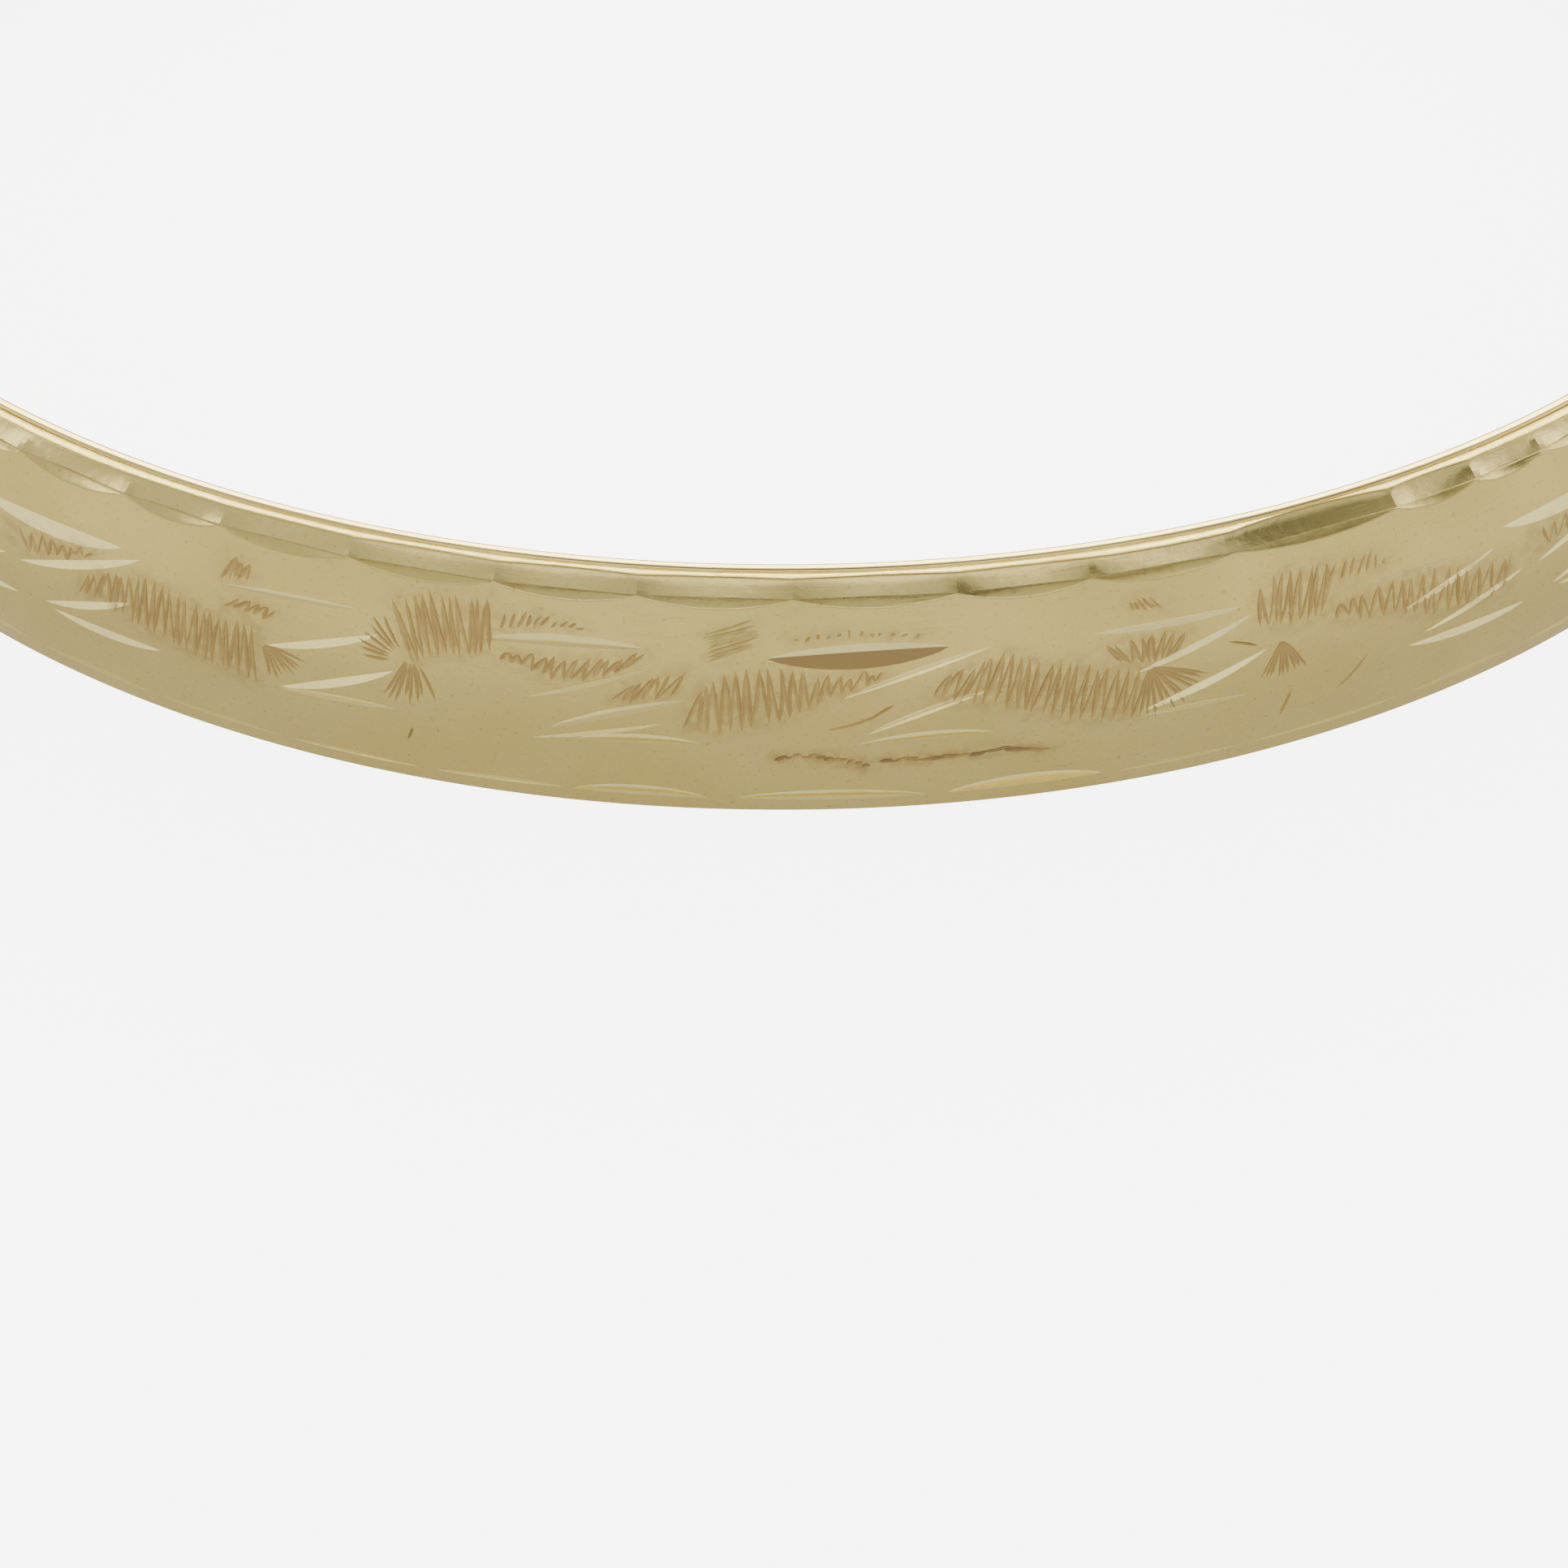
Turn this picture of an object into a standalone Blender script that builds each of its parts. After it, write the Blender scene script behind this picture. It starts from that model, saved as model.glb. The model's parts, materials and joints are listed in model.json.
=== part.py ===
"""Hollow oval hinged bangle, eight millimetres wide, with a box-and-tongue clasp and a safety catch.

The bangle lies on its lower rim. The hinge is at -X, the clasp is at +X and the decorated front half
faces -Y. Every length in the constants below is in millimetres; objects are built in metres.
"""

import math

import bmesh
import bpy
from mathutils import Matrix, Vector

MM = 0.001

# The band: an ellipse seen from above, and the section carried round it.
HALF_LENGTH = 32.5
HALF_BREADTH = 28.3
WIDTH = 7.9
WALL = 1.6
DOME_RISE = 0.57
SHEET = 0.35
LINER_SHEET = 0.30
SEAM = 0.03
RIM_CUT = 0.90
SHOULDER = 0.35
END_GAP = 0.05
STATIONS = 72

# The hinge, whose barrel lies in a groove across both ends at -X.
HINGE_X = -32.3
BARREL_RADIUS = 0.85
GROOVE_RADIUS = 0.97
FOOT_RADIUS = 0.95
BORE_RADIUS = 0.40
PIN_RADIUS = 0.37
KNUCKLES = 5
KNUCKLE_GAP = 0.04
BARREL_FOOT = 0.50
BLOCK_DEPTH = 2.2

# The clasp at +X. Radii are taken from the hinge axis, so that the tongue slides along its own arc.
PLATE_DEPTH = 0.40
FIT = 0.02
TONGUE_INNER = 63.68
TONGUE_SHEET = 0.18
TONGUE_PLAY = 0.03
TONGUE_REACH = 4.2
TONGUE_ROOT = -1.6
TONGUE_HALF_WIDTH = 1.6
LEAF_SHEET = 0.18
LEAF_MOUTH = 0.55
LEAF_LIFT = 0.22
LIP_X = 31.83
BUTTON_X = 32.78
BUTTON_TOP_X = 33.15

# The safety catch on the upper rim.
CATCH_X = 31.3
CATCH_PIVOT_Y = -2.5
CATCH_PIVOT_Z = WIDTH + 0.45
LOOP_Z = WIDTH + 0.30
BEAD_Z = WIDTH + 0.80
WIRE_RADIUS = 0.22
LUG_SHEET = 0.25
LUG_GAP = 0.44
SMALL_LOOP = 0.75
LARGE_LOOP = 0.95
STUD_Y = 0.72

GOLD = (0.80, 0.62, 0.35, 1.0)
POLISHED_GOLD = (0.86, 0.69, 0.42, 1.0)
PIN_GOLD = (0.72, 0.56, 0.33, 1.0)
SPRING_GOLD = (0.76, 0.60, 0.36, 1.0)


def clear_scene():
    """Remove the objects that a new file starts with."""
    for thing in list(bpy.data.objects):
        bpy.data.objects.remove(thing, do_unlink=True)


def new_collection(name):
    """Make a collection under the scene."""
    group = bpy.data.collections.new(name)
    bpy.context.scene.collection.children.link(group)
    return group


def metal(name, colour, roughness):
    """Make a plain metal material."""
    made = bpy.data.materials.new(name)
    made.use_nodes = True
    shader = made.node_tree.nodes["Principled BSDF"]
    shader.inputs["Base Color"].default_value = colour
    shader.inputs["Metallic"].default_value = 1.0
    shader.inputs["Roughness"].default_value = roughness
    made.diffuse_color = colour
    return made


def closed_curve(name, points):
    """Make a flat closed outline from points in metres."""
    outline = bpy.data.curves.new(name, "CURVE")
    outline.dimensions = "2D"
    spline = outline.splines.new("POLY")
    spline.points.add(len(points) - 1)
    for target, (across, up) in zip(spline.points, points):
        target.co = (across, up, 0.0, 1.0)
    spline.use_cyclic_u = True
    return outline


def mesh_from(thing, name):
    """Take a closed, welded, outward-facing mesh from an evaluated object, then remove that object."""
    bpy.context.view_layer.update()
    graph = bpy.context.evaluated_depsgraph_get()
    mesh = bpy.data.meshes.new_from_object(thing.evaluated_get(graph))
    mesh.name = name
    mesh.transform(thing.matrix_world)
    bpy.data.objects.remove(thing, do_unlink=True)
    shape = bmesh.new()
    shape.from_mesh(mesh)
    bmesh.ops.remove_doubles(shape, verts=shape.verts, dist=2e-6)
    bmesh.ops.recalc_face_normals(shape, faces=shape.faces)
    shape.to_mesh(mesh)
    shape.free()
    return mesh


def ellipse_point(turn):
    """Give the point of the outer ellipse at a turn in radians, counted from +X towards +Y."""
    return HALF_LENGTH * MM * math.cos(turn), HALF_BREADTH * MM * math.sin(turn)


def band_turns(first, last):
    """Spread turns evenly, with one more close to each end so that the end faces stay square."""
    step = (last - first) / STATIONS
    nudge = step * 0.02
    middle = [first + step * n for n in range(1, STATIONS)]
    return [first, first + nudge] + middle + [last - nudge, last]


def sweep(name, section, turns):
    """Carry a section round the band.

    The section's points are (distance out from the outer ellipse, height), in millimetres.
    """
    profile = bpy.data.objects.new(
        name + "_section", closed_curve(name, [(a * MM, b * MM) for a, b in section])
    )
    bpy.context.scene.collection.objects.link(profile)
    path = bpy.data.curves.new(name + "_path", "CURVE")
    path.dimensions = "2D"
    spline = path.splines.new("POLY")
    spline.points.add(len(turns) - 1)
    for target, turn in zip(spline.points, turns):
        x, y = ellipse_point(turn)
        target.co = (x, y, 0.0, 1.0)
    path.fill_mode = "NONE"
    path.bevel_mode = "OBJECT"
    path.bevel_object = profile
    path.use_fill_caps = True
    carrier = bpy.data.objects.new(name + "_path", path)
    bpy.context.scene.collection.objects.link(carrier)
    mesh = mesh_from(carrier, name)
    bpy.data.objects.remove(profile, do_unlink=True)
    return mesh


def cylinder(name, radius, low, high, centre, axis="Z", sides=32):
    """Make a closed cylinder along an axis, in millimetres."""
    shape = bmesh.new()
    bmesh.ops.create_cone(
        shape,
        cap_ends=True,
        segments=sides,
        radius1=radius * MM,
        radius2=radius * MM,
        depth=(high - low) * MM,
    )
    bmesh.ops.translate(shape, verts=shape.verts, vec=(0.0, 0.0, (low + high) / 2 * MM))
    turn = Matrix.Rotation(math.pi / 2, 4, "Y") if axis == "X" else Matrix.Identity(4)
    bmesh.ops.transform(shape, verts=shape.verts, matrix=turn)
    bmesh.ops.translate(shape, verts=shape.verts, vec=Vector(centre) * MM)
    mesh = bpy.data.meshes.new(name)
    shape.to_mesh(mesh)
    shape.free()
    return mesh


def block(name, low, high):
    """Make a box between two corners, in millimetres."""
    shape = bmesh.new()
    bmesh.ops.create_cube(shape, size=1.0)
    size = (Vector(high) - Vector(low)) * MM
    middle = (Vector(high) + Vector(low)) * MM / 2
    bmesh.ops.scale(shape, verts=shape.verts, vec=size)
    bmesh.ops.translate(shape, verts=shape.verts, vec=middle)
    mesh = bpy.data.meshes.new(name)
    shape.to_mesh(mesh)
    shape.free()
    return mesh


def ball(name, radius, centre):
    """Make a sphere, in millimetres."""
    shape = bmesh.new()
    bmesh.ops.create_uvsphere(shape, u_segments=20, v_segments=12, radius=radius * MM)
    bmesh.ops.translate(shape, verts=shape.verts, vec=Vector(centre) * MM)
    mesh = bpy.data.meshes.new(name)
    shape.to_mesh(mesh)
    shape.free()
    return mesh


def plate_outline(name, points, low, high):
    """Extrude a flat closed outline in X and Y between two heights, in millimetres."""
    outline = closed_curve(name, [(x * MM, y * MM) for x, y in points])
    outline.fill_mode = "BOTH"
    outline.extrude = (high - low) / 2 * MM
    carrier = bpy.data.objects.new(name, outline)
    carrier.location = (0.0, 0.0, (low + high) / 2 * MM)
    bpy.context.scene.collection.objects.link(carrier)
    return mesh_from(carrier, name)


def torus(name, major, minor, centre):
    """Make a ring of wire lying flat, in millimetres."""
    bpy.ops.mesh.primitive_torus_add(
        major_segments=32,
        minor_segments=12,
        major_radius=major * MM,
        minor_radius=minor * MM,
        location=Vector(centre) * MM,
    )
    ring = bpy.context.object
    return mesh_from(ring, name)


class Bench:
    """Places finished meshes in the scene and keeps the cutters apart."""

    def __init__(self):
        self.parts = new_collection("hinged_bangle")
        self.cutters = new_collection("cutters")
        self.axes = {}

    def axis(self, name, position, parent=None):
        """Place an empty on a joint's axis."""
        marker = bpy.data.objects.new(name, None)
        marker.empty_display_size = 0.004
        self.parts.objects.link(marker)
        here = Vector(position) * MM
        self.axes[name] = here
        if parent:
            marker.parent = bpy.data.objects[parent]
            here = here - self.axes[parent]
        marker.location = here
        return marker

    def place(self, name, mesh, material, parent=None, smooth=35.0):
        """Put a mesh on the bench as a named part, hung from a joint's empty if one is named."""
        part = bpy.data.objects.new(name, mesh)
        self.parts.objects.link(part)
        mesh.materials.clear()
        mesh.materials.append(material)
        mesh.shade_smooth()
        mesh.set_sharp_from_angle(angle=math.radians(smooth))
        if parent:
            part.parent = bpy.data.objects[parent]
            part.location = -self.axes[parent]
        return part

    def combine(self, part, mesh, operation):
        """Join a mesh to a part, cut it from the part, or keep only what they share."""
        tool = bpy.data.objects.new(part.name + "_" + operation.lower(), mesh)
        self.cutters.objects.link(tool)
        tool.hide_render = True
        tool.display_type = "WIRE"
        step = part.modifiers.new(operation.title(), "BOOLEAN")
        step.operation = operation
        step.solver = "EXACT"
        step.object = tool
        return step


def dome(height):
    """Give how far the outer face lies from the outer ellipse at a height, in millimetres."""
    across = (height - WIDTH / 2) / (WIDTH / 2)
    return -DOME_RISE * across * across


def face_heights(inset, count):
    """Spread heights over the domed face, each end an inset from its rim, in millimetres."""
    return [inset + (WIDTH - 2 * inset) * n / count for n in range(count + 1)]


def outer_profile():
    """Give the outer side of the section from the lower rim to the upper: cut edge, dome, cut edge."""
    face = [(dome(h), h) for h in face_heights(SHOULDER, 12)]
    return [(-RIM_CUT, 0.0)] + face + [(-RIM_CUT, WIDTH)]


def hollow_profile(clearance):
    """Give the hollow's outer side from bottom to top, kept a clearance inside the sheet."""
    face = [(dome(h) - SHEET - clearance, h) for h in face_heights(SHEET * 2, 8)]
    low = SHEET + clearance
    corner = -RIM_CUT - 0.10 - clearance
    return [(corner, low)] + face + [(corner, WIDTH - low)]


def shell_section():
    """Give the outline of the outer shell: a domed face with two rims turned inwards."""
    seat = -(WALL - LINER_SHEET - SEAM)
    outer = [(seat, 0.0)] + outer_profile() + [(seat, WIDTH)]
    return outer + [(seat, WIDTH - SHEET)] + hollow_profile(0.0)[::-1] + [(seat, SHEET)]


def liner_section():
    """Give the outline of the inner sheet that closes the shell."""
    inside = -WALL
    outside = -(WALL - LINER_SHEET)
    soft = 0.08
    return [
        (inside + soft, 0.0),
        (outside, 0.0),
        (outside, WIDTH),
        (inside + soft, WIDTH),
        (inside, WIDTH - soft),
        (inside, soft),
    ]


def hollow_section():
    """Give the outline of the space between the shell and the liner, a little small all round."""
    seat = -(WALL - LINER_SHEET - SEAM)
    low = SHEET + FIT
    return [(seat, low)] + hollow_profile(FIT) + [(seat, WIDTH - low)]


def body_section():
    """Give the whole section as one filled outline, a little proud of the shell, to trim feet to it."""
    proud = [(r + 0.01, h + (0.01 if h > WIDTH / 2 else 0.0)) for r, h in outer_profile()]
    return [(-WALL - 1.0, 0.0)] + proud + [(-WALL - 1.0, WIDTH + 0.01)]


def turn_at(y):
    """Give the turn near +X at which the outer ellipse has a given y, in millimetres."""
    return math.asin(y / HALF_BREADTH)


def short_turns(first, last):
    """Give three turns over a short stretch of the band."""
    return [first, (first + last) / 2, last]


def half_turns(front):
    """Give the turns of one half of the band, short of both joints by the end gap."""
    gap = turn_at(END_GAP)
    if front:
        return band_turns(math.pi + gap, 2 * math.pi - gap)
    return band_turns(gap, math.pi - gap)


def groove():
    """Make the cutter that clears both ends round the hinge barrel."""
    return cylinder("groove", GROOVE_RADIUS, -1.0, WIDTH + 1.0, (HINGE_X, 0.0, 0.0), sides=48)


def make_band(bench, finish):
    """Build the two outer shells and the two liners."""
    for front in (False, True):
        side = "front" if front else "back"
        parent = "hinge_axis" if front else None
        turns = half_turns(front)
        shell = bench.place(
            side + "_outer_shell", sweep("shell", shell_section(), turns), finish[side], parent
        )
        bench.combine(shell, groove(), "DIFFERENCE")
        if not front:
            notch = block("notch", (31.0, -1.0, WIDTH / 2 - 0.5), (34.0, 1.35, WIDTH / 2 + 0.5))
            bench.combine(shell, notch, "DIFFERENCE")
        bench.place(
            side + "_inner_liner", sweep("liner", liner_section(), turns), finish["liner"], parent
        )


def make_end_blocks(bench, finish):
    """Build the blocks that close the hollow band at the hinge and carry the knuckles."""
    depth = turn_at(BLOCK_DEPTH)
    gap = turn_at(END_GAP)
    for side, first, last in (
        ("back", math.pi - depth, math.pi - gap),
        ("front", math.pi + gap, math.pi + depth),
    ):
        parent = "hinge_axis" if side == "front" else None
        solid = sweep("block", hollow_section(), short_turns(first, last))
        placed = bench.place(side + "_hinge_block", solid, finish["inside"], parent)
        bench.combine(placed, groove(), "DIFFERENCE")


def make_end_plates(bench, finish):
    """Build the plates that close the hollow band at the clasp, each with its slot."""
    gap = turn_at(END_GAP)
    depth = turn_at(END_GAP + PLATE_DEPTH)
    middle = WIDTH / 2
    half = TONGUE_HALF_WIDTH + 0.08
    low = HINGE_X + TONGUE_INNER
    mouth = sweep("mouth", hollow_section(), short_turns(gap, depth))
    placed = bench.place("clasp_mouth_plate", mouth, finish["inside"])
    slot = block("slot", (low - TONGUE_PLAY, -1.0, middle - half), (LIP_X, 2.0, middle + half))
    bench.combine(placed, slot, "DIFFERENCE")
    notch = block("notch", (31.4, -1.0, middle - 0.5), (34.0, 2.0, middle + 0.5))
    bench.combine(placed, notch, "DIFFERENCE")
    seat = sweep("seat", hollow_section(), short_turns(2 * math.pi - depth, 2 * math.pi - gap))
    placed = bench.place("tongue_seat_plate", seat, finish["inside"], "hinge_axis")
    slot = block(
        "slot",
        (low - FIT, -2.0, middle - TONGUE_HALF_WIDTH - FIT),
        (low + TONGUE_SHEET + FIT, 1.0, middle + TONGUE_HALF_WIDTH + FIT),
    )
    bench.combine(placed, slot, "DIFFERENCE")


def knuckle(bench, name, index, sign, finish, parent):
    """Build one hinge knuckle: a tube with a foot that fills the groove on its own side."""
    length = (WIDTH - 2 * BARREL_FOOT) / KNUCKLES
    low = BARREL_FOOT + index * length + KNUCKLE_GAP / 2
    high = BARREL_FOOT + (index + 1) * length - KNUCKLE_GAP / 2
    centre = (HINGE_X, 0.0, 0.0)
    foot = cylinder("foot", FOOT_RADIUS, low, high, centre, sides=48)
    part = bench.place(name, foot, finish["hinge"], parent)
    near = 0.30 * sign
    far = 2.0 * sign
    keep = block(
        "keep", (HINGE_X - 0.2, min(near, far), -1.0), (HINGE_X + 2.0, max(near, far), WIDTH + 1.0)
    )
    bench.combine(part, keep, "INTERSECT")
    bench.combine(part, cylinder("tube", BARREL_RADIUS, low, high, centre), "UNION")
    bore = cylinder("bore", BORE_RADIUS, low - 1.0, high + 1.0, centre)
    bench.combine(part, bore, "DIFFERENCE")


def make_hinge(bench, finish):
    """Build the knuckles, turn about on the two halves, and the riveted pin through them."""
    knuckle(bench, "back_knuckle_lower", 0, 1, finish, None)
    knuckle(bench, "front_knuckle_lower", 1, -1, finish, "hinge_axis")
    knuckle(bench, "back_knuckle_middle", 2, 1, finish, None)
    knuckle(bench, "front_knuckle_upper", 3, -1, finish, "hinge_axis")
    knuckle(bench, "back_knuckle_upper", 4, 1, finish, None)
    centre = (HINGE_X, 0.0, 0.0)
    shaft = cylinder("shaft", PIN_RADIUS, 0.1, WIDTH - 0.1, centre)
    pin = bench.place("hinge_pin", shaft, finish["pin"])
    bench.combine(pin, cylinder("head", 0.62, 0.06, BARREL_FOOT - 0.02, centre), "UNION")
    top = cylinder("head", 0.62, WIDTH - BARREL_FOOT + 0.02, WIDTH - 0.06, centre)
    bench.combine(pin, top, "UNION")


def arc_point(radius, y):
    """Give the point at a radius from the hinge axis and at a given y, in millimetres."""
    return HINGE_X + math.sqrt(radius * radius - y * y), y


def strip(first_radius, last_radius, first_y, last_y, sheet):
    """Give the outline of a bent strip whose inner face runs between two radii."""
    count = 8
    ys = [first_y + (last_y - first_y) * n / count for n in range(count + 1)]
    radii = [first_radius + (last_radius - first_radius) * n / count for n in range(count + 1)]
    inner = [arc_point(r, y) for r, y in zip(radii, ys)]
    outer = [arc_point(r + sheet, y) for r, y in zip(radii, ys)]
    return inner + outer[::-1]


def make_tongue(bench, finish):
    """Build the tongue, its sprung leaf and the thumb button on the leaf."""
    middle = WIDTH / 2
    base = strip(TONGUE_INNER, TONGUE_INNER, TONGUE_ROOT, TONGUE_REACH, TONGUE_SHEET)
    solid = plate_outline("tongue", base, middle - TONGUE_HALF_WIDTH, middle + TONGUE_HALF_WIDTH)
    bench.place("tongue", solid, finish["spring"], "hinge_axis")
    start = TONGUE_INNER + TONGUE_SHEET + 0.03
    leaf = strip(start, start + LEAF_LIFT, TONGUE_REACH - 0.03, LEAF_MOUTH, LEAF_SHEET)
    half = TONGUE_HALF_WIDTH - 0.15
    solid = plate_outline("leaf", leaf, middle - half, middle + half)
    bench.place("snap_leaf", solid, finish["spring"], "snap_axis")
    leaf_top = HINGE_X + start + LEAF_LIFT + LEAF_SHEET
    stem = block("stem", (leaf_top + 0.02, 0.62, middle - 0.4), (BUTTON_X + 0.1, 1.12, middle + 0.4))
    button = bench.place("thumb_button", stem, finish["hinge"], "snap_axis")
    head = block("head", (BUTTON_X, 0.12, middle - 1.1), (BUTTON_TOP_X, 1.72, middle + 1.1))
    bench.combine(button, head, "UNION")
    soften = button.modifiers.new("Soften", "BEVEL")
    soften.width = 0.09 * MM
    soften.segments = 2
    soften.limit_method = "ANGLE"
    soften.angle_limit = math.radians(50.0)


def make_lugs(bench, finish):
    """Build the two ears that hold the safety catch, and the pin through them."""
    pivot = (0.0, CATCH_PIVOT_Y, CATCH_PIVOT_Z)
    inner = CATCH_X - LUG_GAP / 2 - LUG_SHEET
    outer = CATCH_X + LUG_GAP / 2
    for name, low in (("catch_lug_inner", inner), ("catch_lug_outer", outer)):
        high = low + LUG_SHEET
        ear = cylinder("ear", 0.38, low, high, pivot, axis="X")
        part = bench.place(name, ear, finish["hinge"], "hinge_axis")
        foot = block(
            "foot", (low, CATCH_PIVOT_Y - 0.38, WIDTH - 0.4), (high, CATCH_PIVOT_Y + 0.38, CATCH_PIVOT_Z)
        )
        bench.combine(part, foot, "UNION")
        bench.combine(part, cylinder("bore", 0.17, low - 1, high + 1, pivot, axis="X"), "DIFFERENCE")
        under = sweep("under", body_section(), short_turns(-turn_at(5.0), -turn_at(0.5)))
        bench.combine(part, under, "DIFFERENCE")
    reach = LUG_GAP / 2 + LUG_SHEET + 0.10
    pin = cylinder("pin", 0.15, CATCH_X - reach, CATCH_X + reach, pivot, axis="X")
    bench.place("catch_pin", pin, finish["pin"], "hinge_axis")


def make_catch(bench, finish):
    """Build the figure-of-eight safety catch and the stud that it closes over."""
    pivot = (0.0, CATCH_PIVOT_Y, CATCH_PIVOT_Z)
    eye = cylinder("eye", 0.40, CATCH_X - 0.19, CATCH_X + 0.19, pivot, axis="X")
    catch = bench.place("safety_catch", eye, finish["hinge"], "catch_axis")
    small_y = CATCH_PIVOT_Y + 0.55 + SMALL_LOOP + WIRE_RADIUS
    large_y = small_y + SMALL_LOOP + LARGE_LOOP
    neck = block(
        "neck",
        (CATCH_X - 0.17, CATCH_PIVOT_Y + 0.2, LOOP_Z - 0.17),
        (CATCH_X + 0.17, small_y - SMALL_LOOP, LOOP_Z + 0.17),
    )
    bench.combine(catch, neck, "UNION")
    bench.combine(catch, torus("small", SMALL_LOOP, WIRE_RADIUS, (CATCH_X, small_y, LOOP_Z)), "UNION")
    bench.combine(catch, torus("large", LARGE_LOOP, WIRE_RADIUS, (CATCH_X, large_y, LOOP_Z)), "UNION")
    bore = cylinder("bore", 0.20, CATCH_X - 1, CATCH_X + 1, pivot, axis="X")
    bench.combine(catch, bore, "DIFFERENCE")
    post = cylinder("post", 0.20, WIDTH + 0.01, BEAD_Z, (CATCH_X, STUD_Y, 0.0), sides=20)
    stud = bench.place("catch_stud", post, finish["hinge"])
    bench.combine(stud, ball("bead", 0.36, (CATCH_X, STUD_Y, BEAD_Z)), "UNION")


def main():
    """Build the whole bangle."""
    clear_scene()
    bench = Bench()
    bench.axis("hinge_axis", (HINGE_X, 0.0, 0.0))
    tip = arc_point(TONGUE_INNER + TONGUE_SHEET + 0.10, TONGUE_REACH)
    bench.axis("snap_axis", (tip[0], tip[1], WIDTH / 2), "hinge_axis")
    bench.axis("catch_axis", (CATCH_X, CATCH_PIVOT_Y, CATCH_PIVOT_Z), "hinge_axis")
    finish = {
        "front": metal("engraved_gold", GOLD, 0.28),
        "back": metal("plain_gold", POLISHED_GOLD, 0.16),
        "liner": metal("liner_gold", POLISHED_GOLD, 0.20),
        "inside": metal("block_gold", GOLD, 0.35),
        "hinge": metal("hinge_gold", POLISHED_GOLD, 0.22),
        "pin": metal("pin_gold", PIN_GOLD, 0.24),
        "spring": metal("spring_gold", SPRING_GOLD, 0.26),
    }
    make_band(bench, finish)
    make_end_blocks(bench, finish)
    make_end_plates(bench, finish)
    make_hinge(bench, finish)
    make_tongue(bench, finish)
    make_lugs(bench, finish)
    make_catch(bench, finish)


main()
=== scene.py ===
"""Looks of a hollow, hand-engraved, hinged oval bangle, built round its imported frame.

Lengths inside the classes are millimetres and are turned into metres when a mesh is made. A place on
the band is given by how far along it lies (0 at the middle of the engraved half, rising towards the
clasp), how far out it is from the outer oval, and its height above the lower rim.
"""

from __future__ import annotations

import json
import logging
import math
from dataclasses import dataclass, field, replace
from enum import Enum

import bmesh
import bpy
import numpy as np
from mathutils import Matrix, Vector
from mathutils.geometry import delaunay_2d_cdt

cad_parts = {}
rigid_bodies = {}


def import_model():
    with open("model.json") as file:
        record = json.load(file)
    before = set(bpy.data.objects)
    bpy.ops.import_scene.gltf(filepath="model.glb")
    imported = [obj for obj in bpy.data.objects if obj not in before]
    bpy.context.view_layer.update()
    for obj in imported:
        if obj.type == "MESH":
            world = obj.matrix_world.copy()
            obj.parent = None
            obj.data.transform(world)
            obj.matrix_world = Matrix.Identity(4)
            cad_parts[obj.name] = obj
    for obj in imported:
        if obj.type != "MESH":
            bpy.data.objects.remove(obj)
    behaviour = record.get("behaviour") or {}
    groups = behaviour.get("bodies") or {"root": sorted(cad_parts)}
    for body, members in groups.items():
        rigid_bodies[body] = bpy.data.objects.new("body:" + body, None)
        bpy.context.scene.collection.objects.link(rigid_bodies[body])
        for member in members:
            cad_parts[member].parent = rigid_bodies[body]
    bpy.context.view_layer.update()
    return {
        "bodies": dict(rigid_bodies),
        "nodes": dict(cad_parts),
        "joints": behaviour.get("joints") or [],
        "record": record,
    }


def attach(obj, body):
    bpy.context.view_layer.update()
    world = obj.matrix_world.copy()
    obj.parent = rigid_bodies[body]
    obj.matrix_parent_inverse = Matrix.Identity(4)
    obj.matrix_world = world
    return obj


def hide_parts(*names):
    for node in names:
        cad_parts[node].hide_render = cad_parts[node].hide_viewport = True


MM = 0.001
LOG = logging.getLogger("bangle")


class Body(Enum):
    """The rigid bodies that pieces ride on."""

    BACK = "back_half"
    FRONT = "front_half"
    SNAP = "snap"
    CATCH = "catch"


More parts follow.
